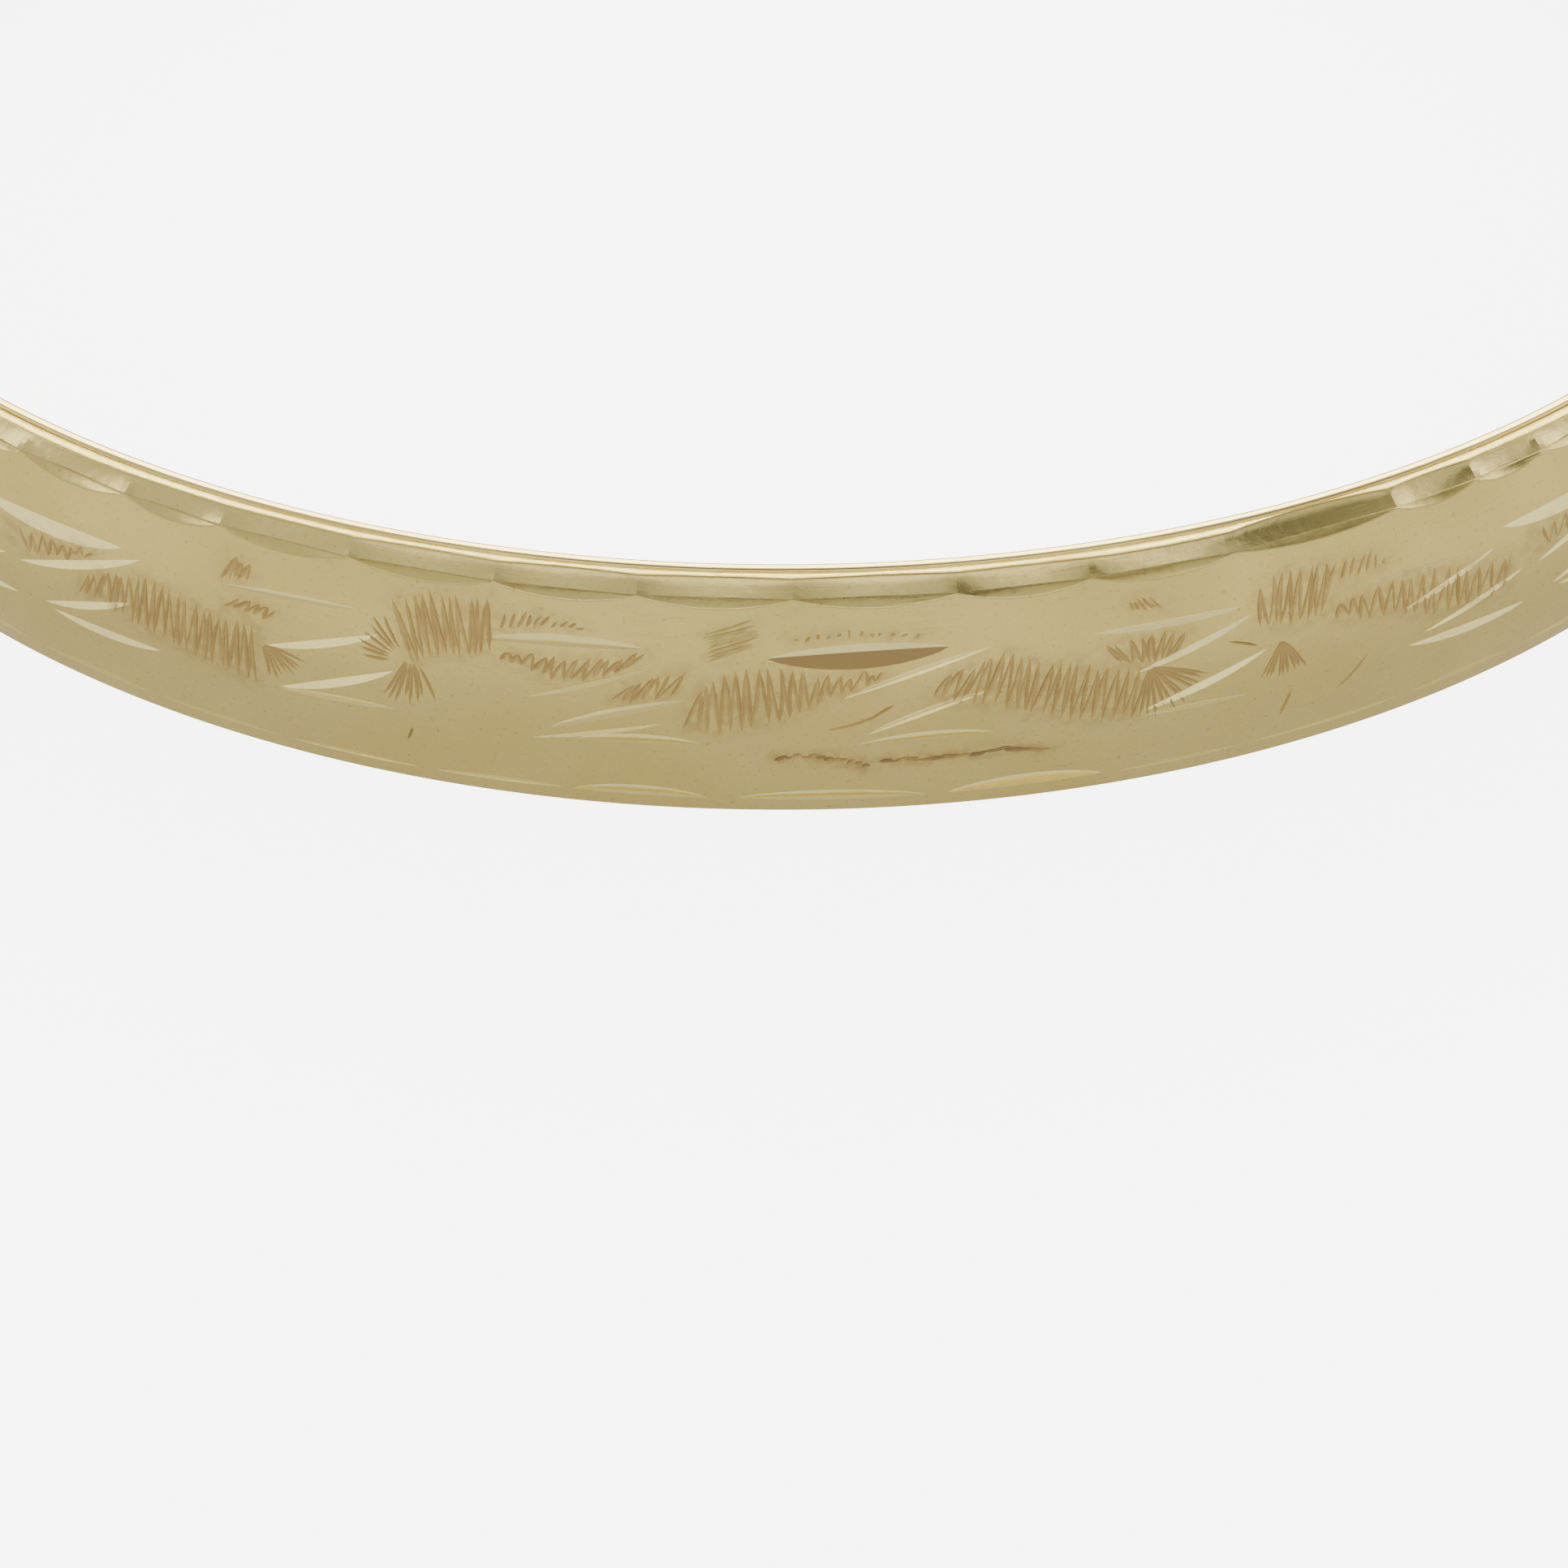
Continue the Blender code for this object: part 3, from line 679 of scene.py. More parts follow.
    def shadings(self) -> list[Shading | Fan]:
        """Lay out the zigzag shading and the fans.

        Returns:
            The runs of shading, then the fans.
        """
        return [
            Shading([(-9.73, 4.78), (-9.28, 5.05), (-8.6, 5.21), (-7.93, 5.32), (-7.65, 5.59)],
                    [(-10.3, 6.67), (-9.68, 6.95), (-9.0, 7.09), (-8.2, 7.12), (-7.57, 7.18)], 17, 0.06),
            Shading([(-7.44, 6.25), (-6.25, 6.47), (-5.23, 6.50)],
                    [(-7.28, 6.68), (-6.48, 6.88), (-4.94, 6.62)], 8, 0.05, False),
            Shading([(-7.36, 5.43), (-6.68, 5.16), (-5.88, 4.82), (-5.2, 4.95), (-4.41, 5.17),
                     (-3.96, 5.49)],
                    [(-7.25, 5.62), (-6.34, 5.58), (-5.55, 5.58), (-4.76, 5.72), (-3.97, 5.84),
                     (-3.46, 5.93)], 19),
            Shading([(-4.4, 4.36), (-3.61, 4.46), (-2.82, 4.62)],
                    [(-3.96, 4.95), (-3.28, 5.28), (-2.43, 5.44)], 9),
            Shading([(-2.53, 3.52), (-1.91, 3.42), (-1.35, 3.47), (-0.79, 3.63), (0.0, 3.89), (0.56, 4.21),
                     (1.24, 4.58), (1.92, 4.9), (2.6, 5.17)],
                    [(-2.26, 4.79), (-1.59, 5.38), (-0.91, 5.58), (-0.23, 5.66), (0.34, 5.5), (1.02, 5.42),
                     (1.58, 5.40), (2.15, 5.42), (2.72, 5.44)], 27, 0.058),
            Shading([(3.95, 4.52), (5.07, 4.15), (5.86, 3.97), (6.75, 3.59), (7.87, 3.21), (8.77, 3.0),
                     (9.33, 2.95)],
                    [(4.41, 5.17), (5.21, 5.6), (6.01, 5.81), (6.9, 5.27), (7.7, 5.27), (8.71, 4.83),
                     (9.61, 4.67)], 31),
            Shading([(9.05, 4.99), (9.5, 4.78), (9.89, 4.74), (10.41, 4.93)],
                    [(8.38, 5.53), (9.18, 5.67), (10.09, 5.69), (10.89, 5.6)], 12),
            Shading([(12.81, 5.24), (13.49, 5.07), (14.28, 5.01), (14.75, 5.12)],
                    [(12.74, 6.43), (13.56, 6.81), (14.48, 6.74), (15.16, 6.52)], 13),
            Shading([(15.01, 5.98), (15.94, 6.02), (16.63, 6.06)],
                    [(15.28, 6.63), (15.96, 6.56), (16.64, 6.33)], 5, 0.045, False),
            Shading([(15.07, 4.79), (16.09, 4.52), (17.0, 4.35), (18.12, 3.81), (19.26, 3.68), (20.66, 3.65)],
                    [(14.98, 5.33), (15.91, 5.42), (17.06, 5.46), (18.21, 5.39), (19.23, 5.05), (20.73, 4.7)],
                    24),
            Shading([(-19.8, 3.93), (-18.94, 3.95), (-18.1, 3.55), (-17.52, 3.45), (-16.71, 3.31),
                     (-15.78, 3.06), (-14.98, 2.87), (-14.35, 2.77)],
                    [(-19.56, 4.67), (-18.77, 5.0), (-17.98, 5.29), (-17.29, 5.35), (-16.35, 5.1),
                     (-15.42, 4.9), (-14.62, 4.85), (-14.11, 4.86)], 34),
            Shading([(-22.12, 4.49), (-21.3, 4.52), (-20.51, 4.86), (-19.36, 5.21)],
                    [(-22.31, 5.32), (-21.25, 5.36), (-20.3, 5.34), (-19.15, 5.48)], 13),
            Shading([(-15.19, 6.05), (-14.79, 6.11), (-14.45, 6.16)],
                    [(-14.89, 6.9), (-14.54, 6.8), (-14.25, 6.64)], 6),
            Shading([(-15.1, 5.22), (-14.53, 5.28), (-13.83, 5.12)],
                    [(-14.77, 5.55), (-14.2, 5.62), (-13.56, 5.5)], 7),
            Shading([(-1.98, 5.75), (-1.93, 6.25), (-2.05, 6.64)],
                    [(-0.73, 6.25), (-0.55, 6.64), (-0.68, 7.02)], 9, 0.055, False, 0.6),
            Shading([(9.2, 6.45), (10.2, 6.42)], [(9.15, 6.8), (9.75, 6.85)], 5, 0.04, False),
            Shading([(0.2, 6.42), (2.0, 6.52), (3.6, 6.42)],
                    [(0.25, 6.5), (2.1, 6.72), (3.7, 6.5)], 9, 0.05, False, 0.8),
            Shading([(-0.28, 2.53), (0.56, 2.57), (1.57, 2.38), (2.25, 2.10)],
                    [(0.05, 2.60), (0.95, 2.62), (1.95, 2.46), (2.45, 2.22)], 9, 0.06, False, 1.7),
            Shading([(2.5, 2.30), (5.04, 2.33), (5.61, 2.47), (6.8, 2.19)],
                    [(2.95, 2.40), (5.4, 2.45), (6.0, 2.50), (7.25, 2.24)], 15, 0.06, False, 1.7),
            Fan((-9.9, 4.78), (112, 182), 0.45, (1.6, 1.3), 7),
            Fan((-9.74, 5.20), (242, 286), 0.45, (2.0, 1.6), 8),
            Fan((9.72, 4.67), (258, 343), 0.12, (1.75, 1.9), 12),
            Fan((13.47, 4.65), (246, 304), 0.10, (1.3, 1.5), 9),
            Fan((-14.03, 4.33), (278, 346), 0.10, (1.2, 1.3), 8),
        ]

    def stretch(self) -> list[Cut]:
        """Draw everything in the laid-out stretch."""
        hand = np.random.default_rng(self.hand_seed)
        drawn = self.leaves() + self.small_cuts()
        for run in self.shadings():
            drawn += run.cuts(hand)
        return drawn

    def smear(self, places: np.ndarray) -> np.ndarray:
        """Find how much of the brown left by the shading has spread over each place.

        A place inside a shaded patch has the patch's own stain; outside, it falls evenly to nothing.

        Args:
            places: flat places, one per row.

        Returns:
            How brown each place is, 0 where there is none.
        """
        brown = np.zeros(len(places))
        for run in self.shadings():
            if not isinstance(run, Shading):
                continue
            for turn in (-1, 0, 1):
                zone = run.zone() + np.array([turn * self.repeat, 0.0])
                low, high = zone[:, 0].min() - self.spread, zone[:, 0].max() + self.spread
                near = np.flatnonzero((places[:, 0] > low) & (places[:, 0] < high))
                if len(near):
                    share = 1 - distance_to(zone, places[near]) / self.spread
                    brown[near] = np.maximum(brown[near], np.clip(share, 0, 1) * run.stain)
        return brown

    def cuts(self, reach: float) -> list[Cut]:
        """Repeat the stretch to both ends of the band and keep what lies whole between them.

        Args:
            reach: distance from the middle to where the engraving stops.

        Returns:
            Every cut on the engraved half.
        """
        drawn = []
        for turn in (-1, 0, 1):
            for cut in self.stretch():
                moved = cut.shifted(turn * self.repeat)
                ends = (moved.start[0], moved.end[0])
                middle = sum(ends) / 2
                inside = max(map(abs, ends)) < reach
                own = abs(middle) < self.repeat / 2 if turn == 0 else abs(middle) >= self.repeat / 2
                if inside and own:
                    drawn.append(moved)
        return drawn


@dataclass(frozen=True)
class Border:
    """The scalloped bright-cut facets along a rim.

    Attributes:
        joints: where one facet meets the next.
        drop: how much further down the face a facet reaches at its middle.
        bite: how much further into the rim it reaches at its middle.
        scoop: how far the facet is hollowed between its two edges.
        tilts: how much more than that each facet bites in turn, which is what makes it light or dark.
        repeat: how far along the joints come round again.
    """

    joints: tuple[float, ...] = (-21.73, -18.21, -15.26, -11.53, -7.53, -3.76, 0.32, 4.61, 8.15, 12.16,
                                 16.94, 19.5)
    drop: float = 0.26
    bite: float = 0.075
    scoop: float = 0.008
    tilts: tuple[float, ...] = (-0.09, -0.06, -0.04, 0.00, 0.02, 0.00, 0.01, -0.03, -0.10, 0.16, 0.0, -0.06)
    repeat: float = 43.5

    def all_joints(self, reach: float) -> np.ndarray:
        """Repeat the joints to both ends."""
        drawn = np.concatenate([np.array(self.joints) + n * self.repeat for n in (-1, 0, 1)])
        drawn = np.unique(np.round(drawn, 3))
        inner = drawn[np.abs(drawn) < reach - 1.5]
        return np.concatenate([[-reach], inner, [reach]])

    def bulge(self, along: np.ndarray, reach: float) -> np.ndarray:
        """Give 0 at every joint and 1 midway between two joints."""
        joints = self.all_joints(reach)
        spot = np.clip(np.searchsorted(joints, along, side="right") - 1, 0, len(joints) - 2)
        part = (along - joints[spot]) / (joints[spot + 1] - joints[spot])
        part = np.clip(part, 0.0, 1.0)
        return 4 * part * (1 - part)

    def tilt(self, along: np.ndarray, reach: float) -> np.ndarray:
        """Give each place its facet's own extra bite."""
        joints = self.all_joints(reach)
        spot = np.clip(np.searchsorted(joints, along, side="right") - 1, 0, len(joints) - 2)
        middle = (joints[spot] + joints[spot + 1]) / 2
        turned = (middle - self.joints[0]) % self.repeat + self.joints[0]
        own = np.clip(np.searchsorted(self.joints, turned, side="right") - 1, 0, len(self.tilts) - 1)
        return np.array(self.tilts)[own]


# --------------------------------------------------------------------------------------------------
# The band
# --------------------------------------------------------------------------------------------------


@dataclass
class EngravedShell:
    """The outer sheet of the front half, with every cut in its surface.

    Attributes:
        oval: the band's shape.
        engraving: the cuts on the domed face.
        border: the facets along both rims.
        station: spacing of the points along the rims.
        weave: spacing of the points that carry the plain face.
    """

    oval: Oval = OVAL
    engraving: Engraving = field(default_factory=Engraving)
    border: Border = field(default_factory=Border)
    station: float = 0.20
    weave: float = 0.34

    def stations(self) -> np.ndarray:
        """Space points along the band with one on every facet joint; the ends are left to the caller."""
        reach = FRONT_REACH - 1.1
        joints = self.border.all_joints(reach)
        runs = []
        for low, high in zip(joints[:-1], joints[1:]):
            count = max(2, round((high - low) / self.station))
            runs.append(np.linspace(low, high, count, endpoint=False))
        return np.concatenate(runs + [[joints[-1]]])

    def edges(self, along: np.ndarray, upper: bool) -> tuple[np.ndarray, np.ndarray]:
        """Give the height where the face ends and how far out the rim begins.

        Args:
            along: places along the band.
            upper: whether the upper rim is meant.

        Returns:
            Heights of the face's edge, and the rim's outer edge.
        """
        if not upper:
            even = np.ones(len(along))
            return self.oval.shoulder * even, self.oval.rim_cut * even
        reach = FRONT_REACH - 1.1
        bulge = self.border.bulge(along, reach)
        tilt = self.border.tilt(along, reach)
        drop = self.oval.shoulder - 0.06 + (self.border.drop - 0.4 * tilt) * bulge
        rim = self.oval.rim_cut - (self.border.bite + tilt) * bulge
        return self.oval.width - drop, rim

    def outline(self, along: np.ndarray, low: np.ndarray, high: np.ndarray) -> np.ndarray:
        """Draw the flat outline of the domed face.

        Args:
            along: places along the band.
            low: heights of the face's lower edge there.
            high: heights of its upper edge there.

        Returns:
            The outline's points in order.
        """
        heights = np.linspace(low[0], high[0], 26)[1:-1]
        hinge_side = self.side(heights, -1)
        clasp_side = self.side(heights, 1)
        hinge_ends = self.side(np.array([low[0], high[0]]), -1)
        clasp_ends = self.side(np.array([low[-1], high[-1]]), 1)
        bottom = np.column_stack([along, low])
        top = np.column_stack([along, high])
        return np.concatenate([
            hinge_ends[:1], bottom, clasp_ends[:1], clasp_side, clasp_ends[1:], top[::-1],
            hinge_ends[1:], hinge_side[::-1]
        ])

    def filling(self, along: np.ndarray, low: np.ndarray, high: np.ndarray) -> list[np.ndarray]:
        """Spread points over the face: staggered columns in its middle, and rows close to both edges.

        Args:
            along: places along the band.
            low: heights of the face's lower edge there.
            high: heights of its upper edge there.

        Returns:
            Groups of flat places.
        """
        fill_s, fill_z = np.meshgrid(
            np.arange(-FRONT_REACH + 1.2, FRONT_REACH - 1.2, self.weave),
            np.linspace(1.0, self.oval.width - 1.0, 19),
            indexing="ij",
        )
        fill_s = fill_s + (np.arange(fill_s.shape[1]) % 2) * self.weave / 2
        groups = [np.column_stack([fill_s.ravel(), fill_z.ravel()])]
        for inset in (0.07, 0.17, 0.30):
            groups.append(np.column_stack([along[1:-1], high[1:-1] - inset]))
            groups.append(np.column_stack([along[1:-1], low[1:-1] + inset]))
        return groups

    def face(self) -> tuple[np.ndarray, list, dict]:
        """Fill the domed face with triangles whose edges follow every cut.

        Returns:
            Flat places, triangles, and each triangle's marks for the finish.
        """
        cuts = self.engraving.cuts(FRONT_REACH - 1.6)
        along = self.stations()
        low, _ = self.edges(along, False)
        high, _ = self.edges(along, True)
        outline = self.outline(along, low, high)
        places, links, count = [outline], [], len(outline)
        for line in (line for cut in cuts for line in cut.lines()):
            places.append(line)
            number = np.arange(count, count + len(line))
            links.append(np.column_stack([number[:-1], number[1:]]))
            count += len(line)
        flat = np.concatenate(places + self.filling(along, low, high))
        edges = np.concatenate(links).tolist()
        result = delaunay_2d_cdt(
            [Vector(v) for v in flat.tolist()], edges, [list(range(len(outline)))], 1, 1e-5, True
        )
        places = np.array([tuple(v) for v in result[0]])
        triangles = np.array(result[2])
        centre = places[triangles].mean(axis=1)
        depth, bright, stain = self.sink(centre, cuts)
        inside = depth > 0.0008
        # One mark holds the painted highlight of each cut wall, the other its stain and painted shade.
        marks = {"bright": np.where(inside, bright, 0.0), "stain": np.where(inside, stain, 0.0)}
        return places, triangles.tolist(), marks

    def side(self, heights: np.ndarray, way: int) -> np.ndarray:
        """Give the places where the face ends at the hinge (-1) or at the clasp (1)."""
        if way < 0:
            stop = self.oval.hinge_end(self.oval.dome(heights))
        else:
            stop = np.full(heights.shape, self.oval.gap)
        return np.column_stack([way * (FRONT_REACH - stop), heights])

    def sink(self, places: np.ndarray, cuts: list[Cut]) -> tuple[np.ndarray, np.ndarray, np.ndarray]:
        """Find the deepest cut at each place.

        Args:
            places: flat places.
            cuts: every cut.

        Returns:
            Each place's depth, how much painted highlight its wall carries, and how brown it is from stain
            and painted shade.
        """
        order = np.argsort(places[:, 0])
        sorted_s = places[order, 0]
        depth, bright, stain = np.zeros((3, len(places)))
        for cut in cuts:
            low = min(cut.start[0], cut.end[0]) - cut.above - cut.below - abs(cut.bow)
            high = max(cut.start[0], cut.end[0]) + cut.above + cut.below + abs(cut.bow)
            first, last = np.searchsorted(sorted_s, (low, high))
            near = order[first:last]
            sunk, over = cut.sink(places[near])
            deeper = sunk > depth[near]
            spot, side = near[deeper], np.where(over[deeper], 0, 1)
            depth[spot] = sunk[deeper]
            bright[spot] = np.array(cut.bright)[side]
            stain[spot] = np.array(cut.stain)[side]
        return depth, bright, stain

    def section(self, top: tuple[np.ndarray, np.ndarray], low: tuple[np.ndarray, np.ndarray]) -> list:
        """List the lines that run along the band, going round the section from face edge to face edge.

        Args:
            top: heights of the face's upper edge, and how far out the upper rim begins.
            low: the same for the lower edge and rim.

        Returns:
            How far out, how high and the mark of each line; the mark belongs to the strip after it, and
            is 1 on a facet.
        """
        oval, (top_z, top_r), (low_z, low_r) = self.oval, top, low
        width, seat, sheet, soft = oval.width, oval.seat, oval.sheet, 0.05
        lines = []
        for share in (0.0, 0.06, 0.22, 0.45, 0.72, 1.0):
            hollow = self.border.scoop * 4 * share * (1 - share)
            lines.append((oval.dome(top_z) * (1 - share) + top_r * share - hollow * 0.8,
                          top_z * (1 - share) + (width - soft) * share - hollow * 0.6, float(share < 1)))
        rim = [(0.016, 0.027), (0.038, 0.009), (0.064, 0.0)]
        turn = [(0.080, 0.0), (0.040, 0.014), (0.014, 0.045), (0.0, 0.095)]
        lines += [(top_r - out, width - down, 0.0) for out, down in rim]
        lines += [(seat + out, width - down, 0.0) for out, down in turn]
        lines += [(seat, width - sheet, 0.0), (-1.0, width - sheet, 0.0)]
        lines += [(oval.dome(h) - sheet, h, 0.0) for h in np.linspace(width - 2 * sheet, 2 * sheet, 9)]
        lines += [(-1.0, sheet, 0.0), (seat, sheet, 0.0), (seat, 0.075, 0.0), (seat + 0.008, 0.036, 0.0),
                  (seat + 0.026, 0.011, 0.0), (seat + 0.055, 0.0, 0.0)]
        lines += [(low_r - out, up, 0.0) for out, up in rim[::-1]]
        for share in (1.0, 0.67, 0.33, 0.0):
            lines.append((oval.dome(low_z) * (1 - share) + low_r * share,
                          low_z * (1 - share) + soft * share, float(share > 0)))
        return lines

    def wrap(self) -> tuple[np.ndarray, np.ndarray, np.ndarray, np.ndarray]:
        """Carry the rest of the section along the band: facets, rims, seats and the hollow side.

        Returns:
            Points in metres, faces, flat places, and each face's mark: 1 on a facet.
        """
        oval = self.oval
        inner = self.stations()
        along = np.concatenate([[-FRONT_REACH], inner, [FRONT_REACH]])
        held = np.clip(along, inner[0], inner[-1])
        lines = self.section(self.edges(held, True), self.edges(held, False))
        one = np.ones(len(along))
        out = np.array([line[0] * one for line in lines]).T
        height = np.array([line[1] * one for line in lines]).T
        place = np.repeat(along[:, None], out.shape[1], axis=1)
        place[0] = -(FRONT_REACH - oval.hinge_end(out[0]))
        place[-1] = FRONT_REACH - oval.gap
        points = oval.place(place, out, height).reshape(-1, 3)
        faces = grid_faces(len(along), out.shape[1], False)
        face_marks = np.tile(np.array([line[2] for line in lines[:-1]]), len(along) - 1)
        girth = np.cumsum(np.hypot(np.diff(out[5], prepend=out[5, 0]), np.diff(height[5], prepend=0)))
        flat = np.stack([place, np.broadcast_to(10 + girth, place.shape)], axis=-1).reshape(-1, 2)
        return points, faces, flat, face_marks

    def piece(self) -> Piece:
        """Put the face and the rest of the section together.

        Returns:
            The piece.
        """
        places, triangles, marks = self.face()
        cuts = self.engraving.cuts(FRONT_REACH - 1.6)
        depth, _, _ = self.sink(places, cuts)
        face = self.oval.place(places[:, 0], self.oval.dome(places[:, 1]) - depth, places[:, 1])
        points, quads, flat, facet = self.wrap()
        crisp = np.concatenate([np.full(len(triangles), 9.0), np.where(facet > 0, 4.0, 26.0)])
        return Piece(
            "engraved_front_shell",
            np.concatenate([face, points]),
            triangles + (quads + len(face)).tolist(),
            np.concatenate([places, flat]),
            {
                # Facets get a little of the painted highlight colour of the cuts.
                "bright": np.concatenate([marks["bright"], facet * 0.15]),
                "stain": np.concatenate([marks["stain"], facet * 0.0]),
            },
            crisp=crisp,
            close_ends=True,
            shades={"smear": np.concatenate([self.engraving.smear(places), np.zeros(len(points))])},
        )


@dataclass
class PlainBand:
    """A sheet of one section carried along one half: the back shell or a liner.

    Attributes:
        name: the piece's name.
        front: whether it belongs to the front half.
        liner: whether it is the inner sheet.
        oval: the band's shape.
        count: stations along the half.
        notch: half the height of the notch for the thumb button, in the back shell only.
        notch_depth: how far that notch runs in from the end.
    """

    name: str
    front: bool
    liner: bool
    oval: Oval = OVAL
    count: int = 300
    notch: float = 0.5
    notch_depth: float = 1.30

    def outline(self) -> np.ndarray:
        """Draw the closed section.

        Returns:
            (out, height) pairs going round it.
        """
        oval = self.oval
        if self.liner:
            inside, outside = -oval.wall, -(oval.wall - 0.30)
            corners = [(inside, 0.0, 0.08), (outside, 0.0, 0.10), (outside, oval.width, 0.10),
                       (inside, oval.width, 0.08)]
            return rounded(corners, 4)
        width, seat, sheet = oval.width, oval.seat, oval.sheet
        mid, half = width / 2, self.notch
        lines = [mid - half, mid - half + 1e-4, mid + half - 1e-4, mid + half]
        outer = np.unique(np.concatenate([np.linspace(oval.shoulder, width - oval.shoulder, 29), lines]))
        hollow = np.unique(np.concatenate([np.linspace(2 * sheet, width - 2 * sheet, 13), lines]))[::-1]
        edge = float(oval.dome(oval.shoulder))
        low = [(seat, 0.06), (seat + 0.015, 0.015), (seat + 0.06, 0.0), (oval.rim_cut - 0.12, 0.0),
               (oval.rim_cut - 0.02, 0.02), (edge - 0.30, 0.14), (edge - 0.13, 0.24), (edge - 0.035, 0.31)]
        high = [(r, width - h) for r, h in low[::-1]]
        shell = low + [(float(oval.dome(h)), h) for h in outer] + high
        shell += [(seat, width - sheet), (-1.0, width - sheet)]
        shell += [(float(oval.dome(h)) - sheet, h) for h in hollow]
        shell += [(-1.0, sheet), (seat, sheet)]
        return np.array(shell)

    def piece(self) -> Piece:
        """Carry the section along its half; each of its points stops at its own end.

        Returns:
            The piece.
        """
        oval = self.oval
        section = self.outline()
        out, height = section[:, 0], section[:, 1]
        hinge = oval.hinge_end(out)
        clasp = np.full(out.shape, oval.gap)
        if not self.liner and not self.front:
            cut = (np.abs(height - oval.width / 2) < self.notch - 5e-5) & (out > -1.0)
            clasp = np.where(cut, self.notch_depth, clasp)
        if self.front:
            first, last = -FRONT_REACH + hinge, FRONT_REACH - clasp
        else:
            first, last = FRONT_REACH + clasp, 3 * FRONT_REACH - hinge
        ease = np.linspace(0, 1, self.count)[:, None]
        plain_first = np.median(first)
        plain_last = np.median(last)
        place = plain_first + (plain_last - plain_first) * ease
        place = np.repeat(place, len(out), axis=1)
        place[0], place[-1] = first, last
        reach_low = np.maximum(place[0], plain_first)
        reach_high = np.minimum(place[-1], plain_last)
        place[1:-1] = np.clip(place[1:-1], reach_low + 0.001, reach_high - 0.001)
        spread = np.broadcast_to(out, place.shape)
        points = oval.place(place, spread, np.broadcast_to(height, place.shape)).reshape(-1, 3)
        faces = grid_faces(self.count, len(out), True)
        girth = np.cumsum(np.hypot(np.diff(out, prepend=out[0]), np.diff(height, prepend=height[0])))
        flat = np.stack([place, np.broadcast_to(girth, place.shape)], axis=-1).reshape(-1, 2)
        return Piece(self.name, points, faces.tolist(), flat, sharp=32.0, close_ends=True)


def rounded(corners: list[tuple[float, float, float]], steps: int) -> np.ndarray:
    """Round the corners of a closed outline.

    Args:
        corners: (first, second, reach) of each corner, in order.
        steps: lengths in each rounding.

    Returns:
        The outline's points: each rounding is a quadratic curve between the two tangent points.
    """
    base = np.array(corners)
    made = []
    for number, (x, y, reach) in enumerate(base):
        here = np.array([x, y])
        before = base[number - 1, :2] - here
        after = base[(number + 1) % len(base), :2] - here
        start = here + before / np.linalg.norm(before) * reach
        stop = here + after / np.linalg.norm(after) * reach
        part = np.linspace(0, 1, steps + 1)[:, None]
        made.append((1 - part) ** 2 * start + 2 * part * (1 - part) * here + part**2 * stop)
    return np.concatenate(made)


# --------------------------------------------------------------------------------------------------
# The hinge
# --------------------------------------------------------------------------------------------------


@dataclass(frozen=True)
class Hinge:
    """The barrel of five knuckles and the pin riveted through them.

    Attributes:
        oval: the band's shape.
        tube: a knuckle's outer radius.
        bore: a knuckle's inner radius.
        foot: radius of the foot that seats a knuckle in its half.
        start: height of the lowest knuckle's lower end.
        gap: play between two knuckles.
        count: how many knuckles there are.
        pin_radius: the pin's radius.
        head: radius of the pin's hammered heads.
    """

    oval: Oval = OVAL
    tube: float = 0.85
    bore: float = 0.40
    foot: float = 0.95
    start: float = 0.50
    gap: float = 0.04
    count: int = 5
    pin_radius: float = 0.37
    head: float = 0.62

    def knuckle(self, name: str, index: int, way: int) -> Piece:
        """Make one knuckle: a tube with eased ends, and the foot that seats it in its half.

        Args:
            name: the piece's name.
            index: its place from the bottom.
            way: 1 for the back half's side, -1 for the front's.

        Returns:
            The piece.
        """
        pitch = (self.oval.width - 2 * self.start) / self.count
        low = self.start + index * pitch + self.gap / 2
        high = low + pitch - self.gap
        ease = 0.07
        bore, tube = self.bore, self.tube
        profile = [(bore, low + ease), (bore + ease * 0.4, low + ease * 0.3), (bore + ease, low),
                   (tube - ease, low), (tube - ease * 0.3, low + ease * 0.3), (tube, low + ease),
                   (tube, high - ease), (tube - ease * 0.3, high - ease * 0.3), (tube - ease, high),
                   (bore + ease, high), (bore + ease * 0.4, high - ease * 0.3), (bore, high - ease)]
        shaft = turned(name, profile, (self.oval.barrel_x, 0.0, 0.0))
        edge = math.asin(0.42 / self.foot)
        far = math.acos(-0.18 / self.foot)
        turn = np.linspace(edge, far, 24)
        arc = np.stack([np.cos(turn), np.sin(turn)], axis=-1) * self.foot
        outline = np.concatenate([arc, [[-0.18, 0.60], [0.10, 0.42]]])
        if way < 0:
            outline = outline[::-1] * np.array([1.0, -1.0])
        outline = outline + np.array([self.oval.barrel_x, 0.0])
        return joined(name, [shaft, slab(name, outline, low, high, 0.03)])

    def pin(self) -> Piece:
        """Make the pin with a hammered, domed head at each end."""
        low, high = 0.06, self.oval.width - 0.06
        shelf = self.start - 0.02
        bend = np.radians(np.linspace(0, 90, 9))
        dome = [(self.head * math.sin(b) ** 0.9, low + 0.20 * (1 - math.cos(b))) for b in bend]
        profile = dome + [(self.head, shelf - 0.04), (self.head - 0.04, shelf), (self.pin_radius, shelf)]
        profile += [(r, low + high - z) for r, z in profile[::-1]]
        return turned("riveted_hinge_pin", profile, (self.oval.barrel_x, 0.0, 0.0), sides=72)

    def build(self, shop: Workshop) -> None:
        """Make every hinge piece and put it on its half."""
        order = [("back_knuckle_lower", 1), ("front_knuckle_lower", -1), ("back_knuckle_middle", 1),
                 ("front_knuckle_upper", -1), ("back_knuckle_upper", 1)]
        for index, (node, way) in enumerate(order):
            body = Body.BACK if way > 0 else Body.FRONT
            shop.fit(self.knuckle(node + "_tube", index, way), body, "hinge_gold", node)
        shop.fit(self.pin(), Body.BACK, "pin_gold", "hinge_pin")


# --------------------------------------------------------------------------------------------------
# The clasp
# --------------------------------------------------------------------------------------------------


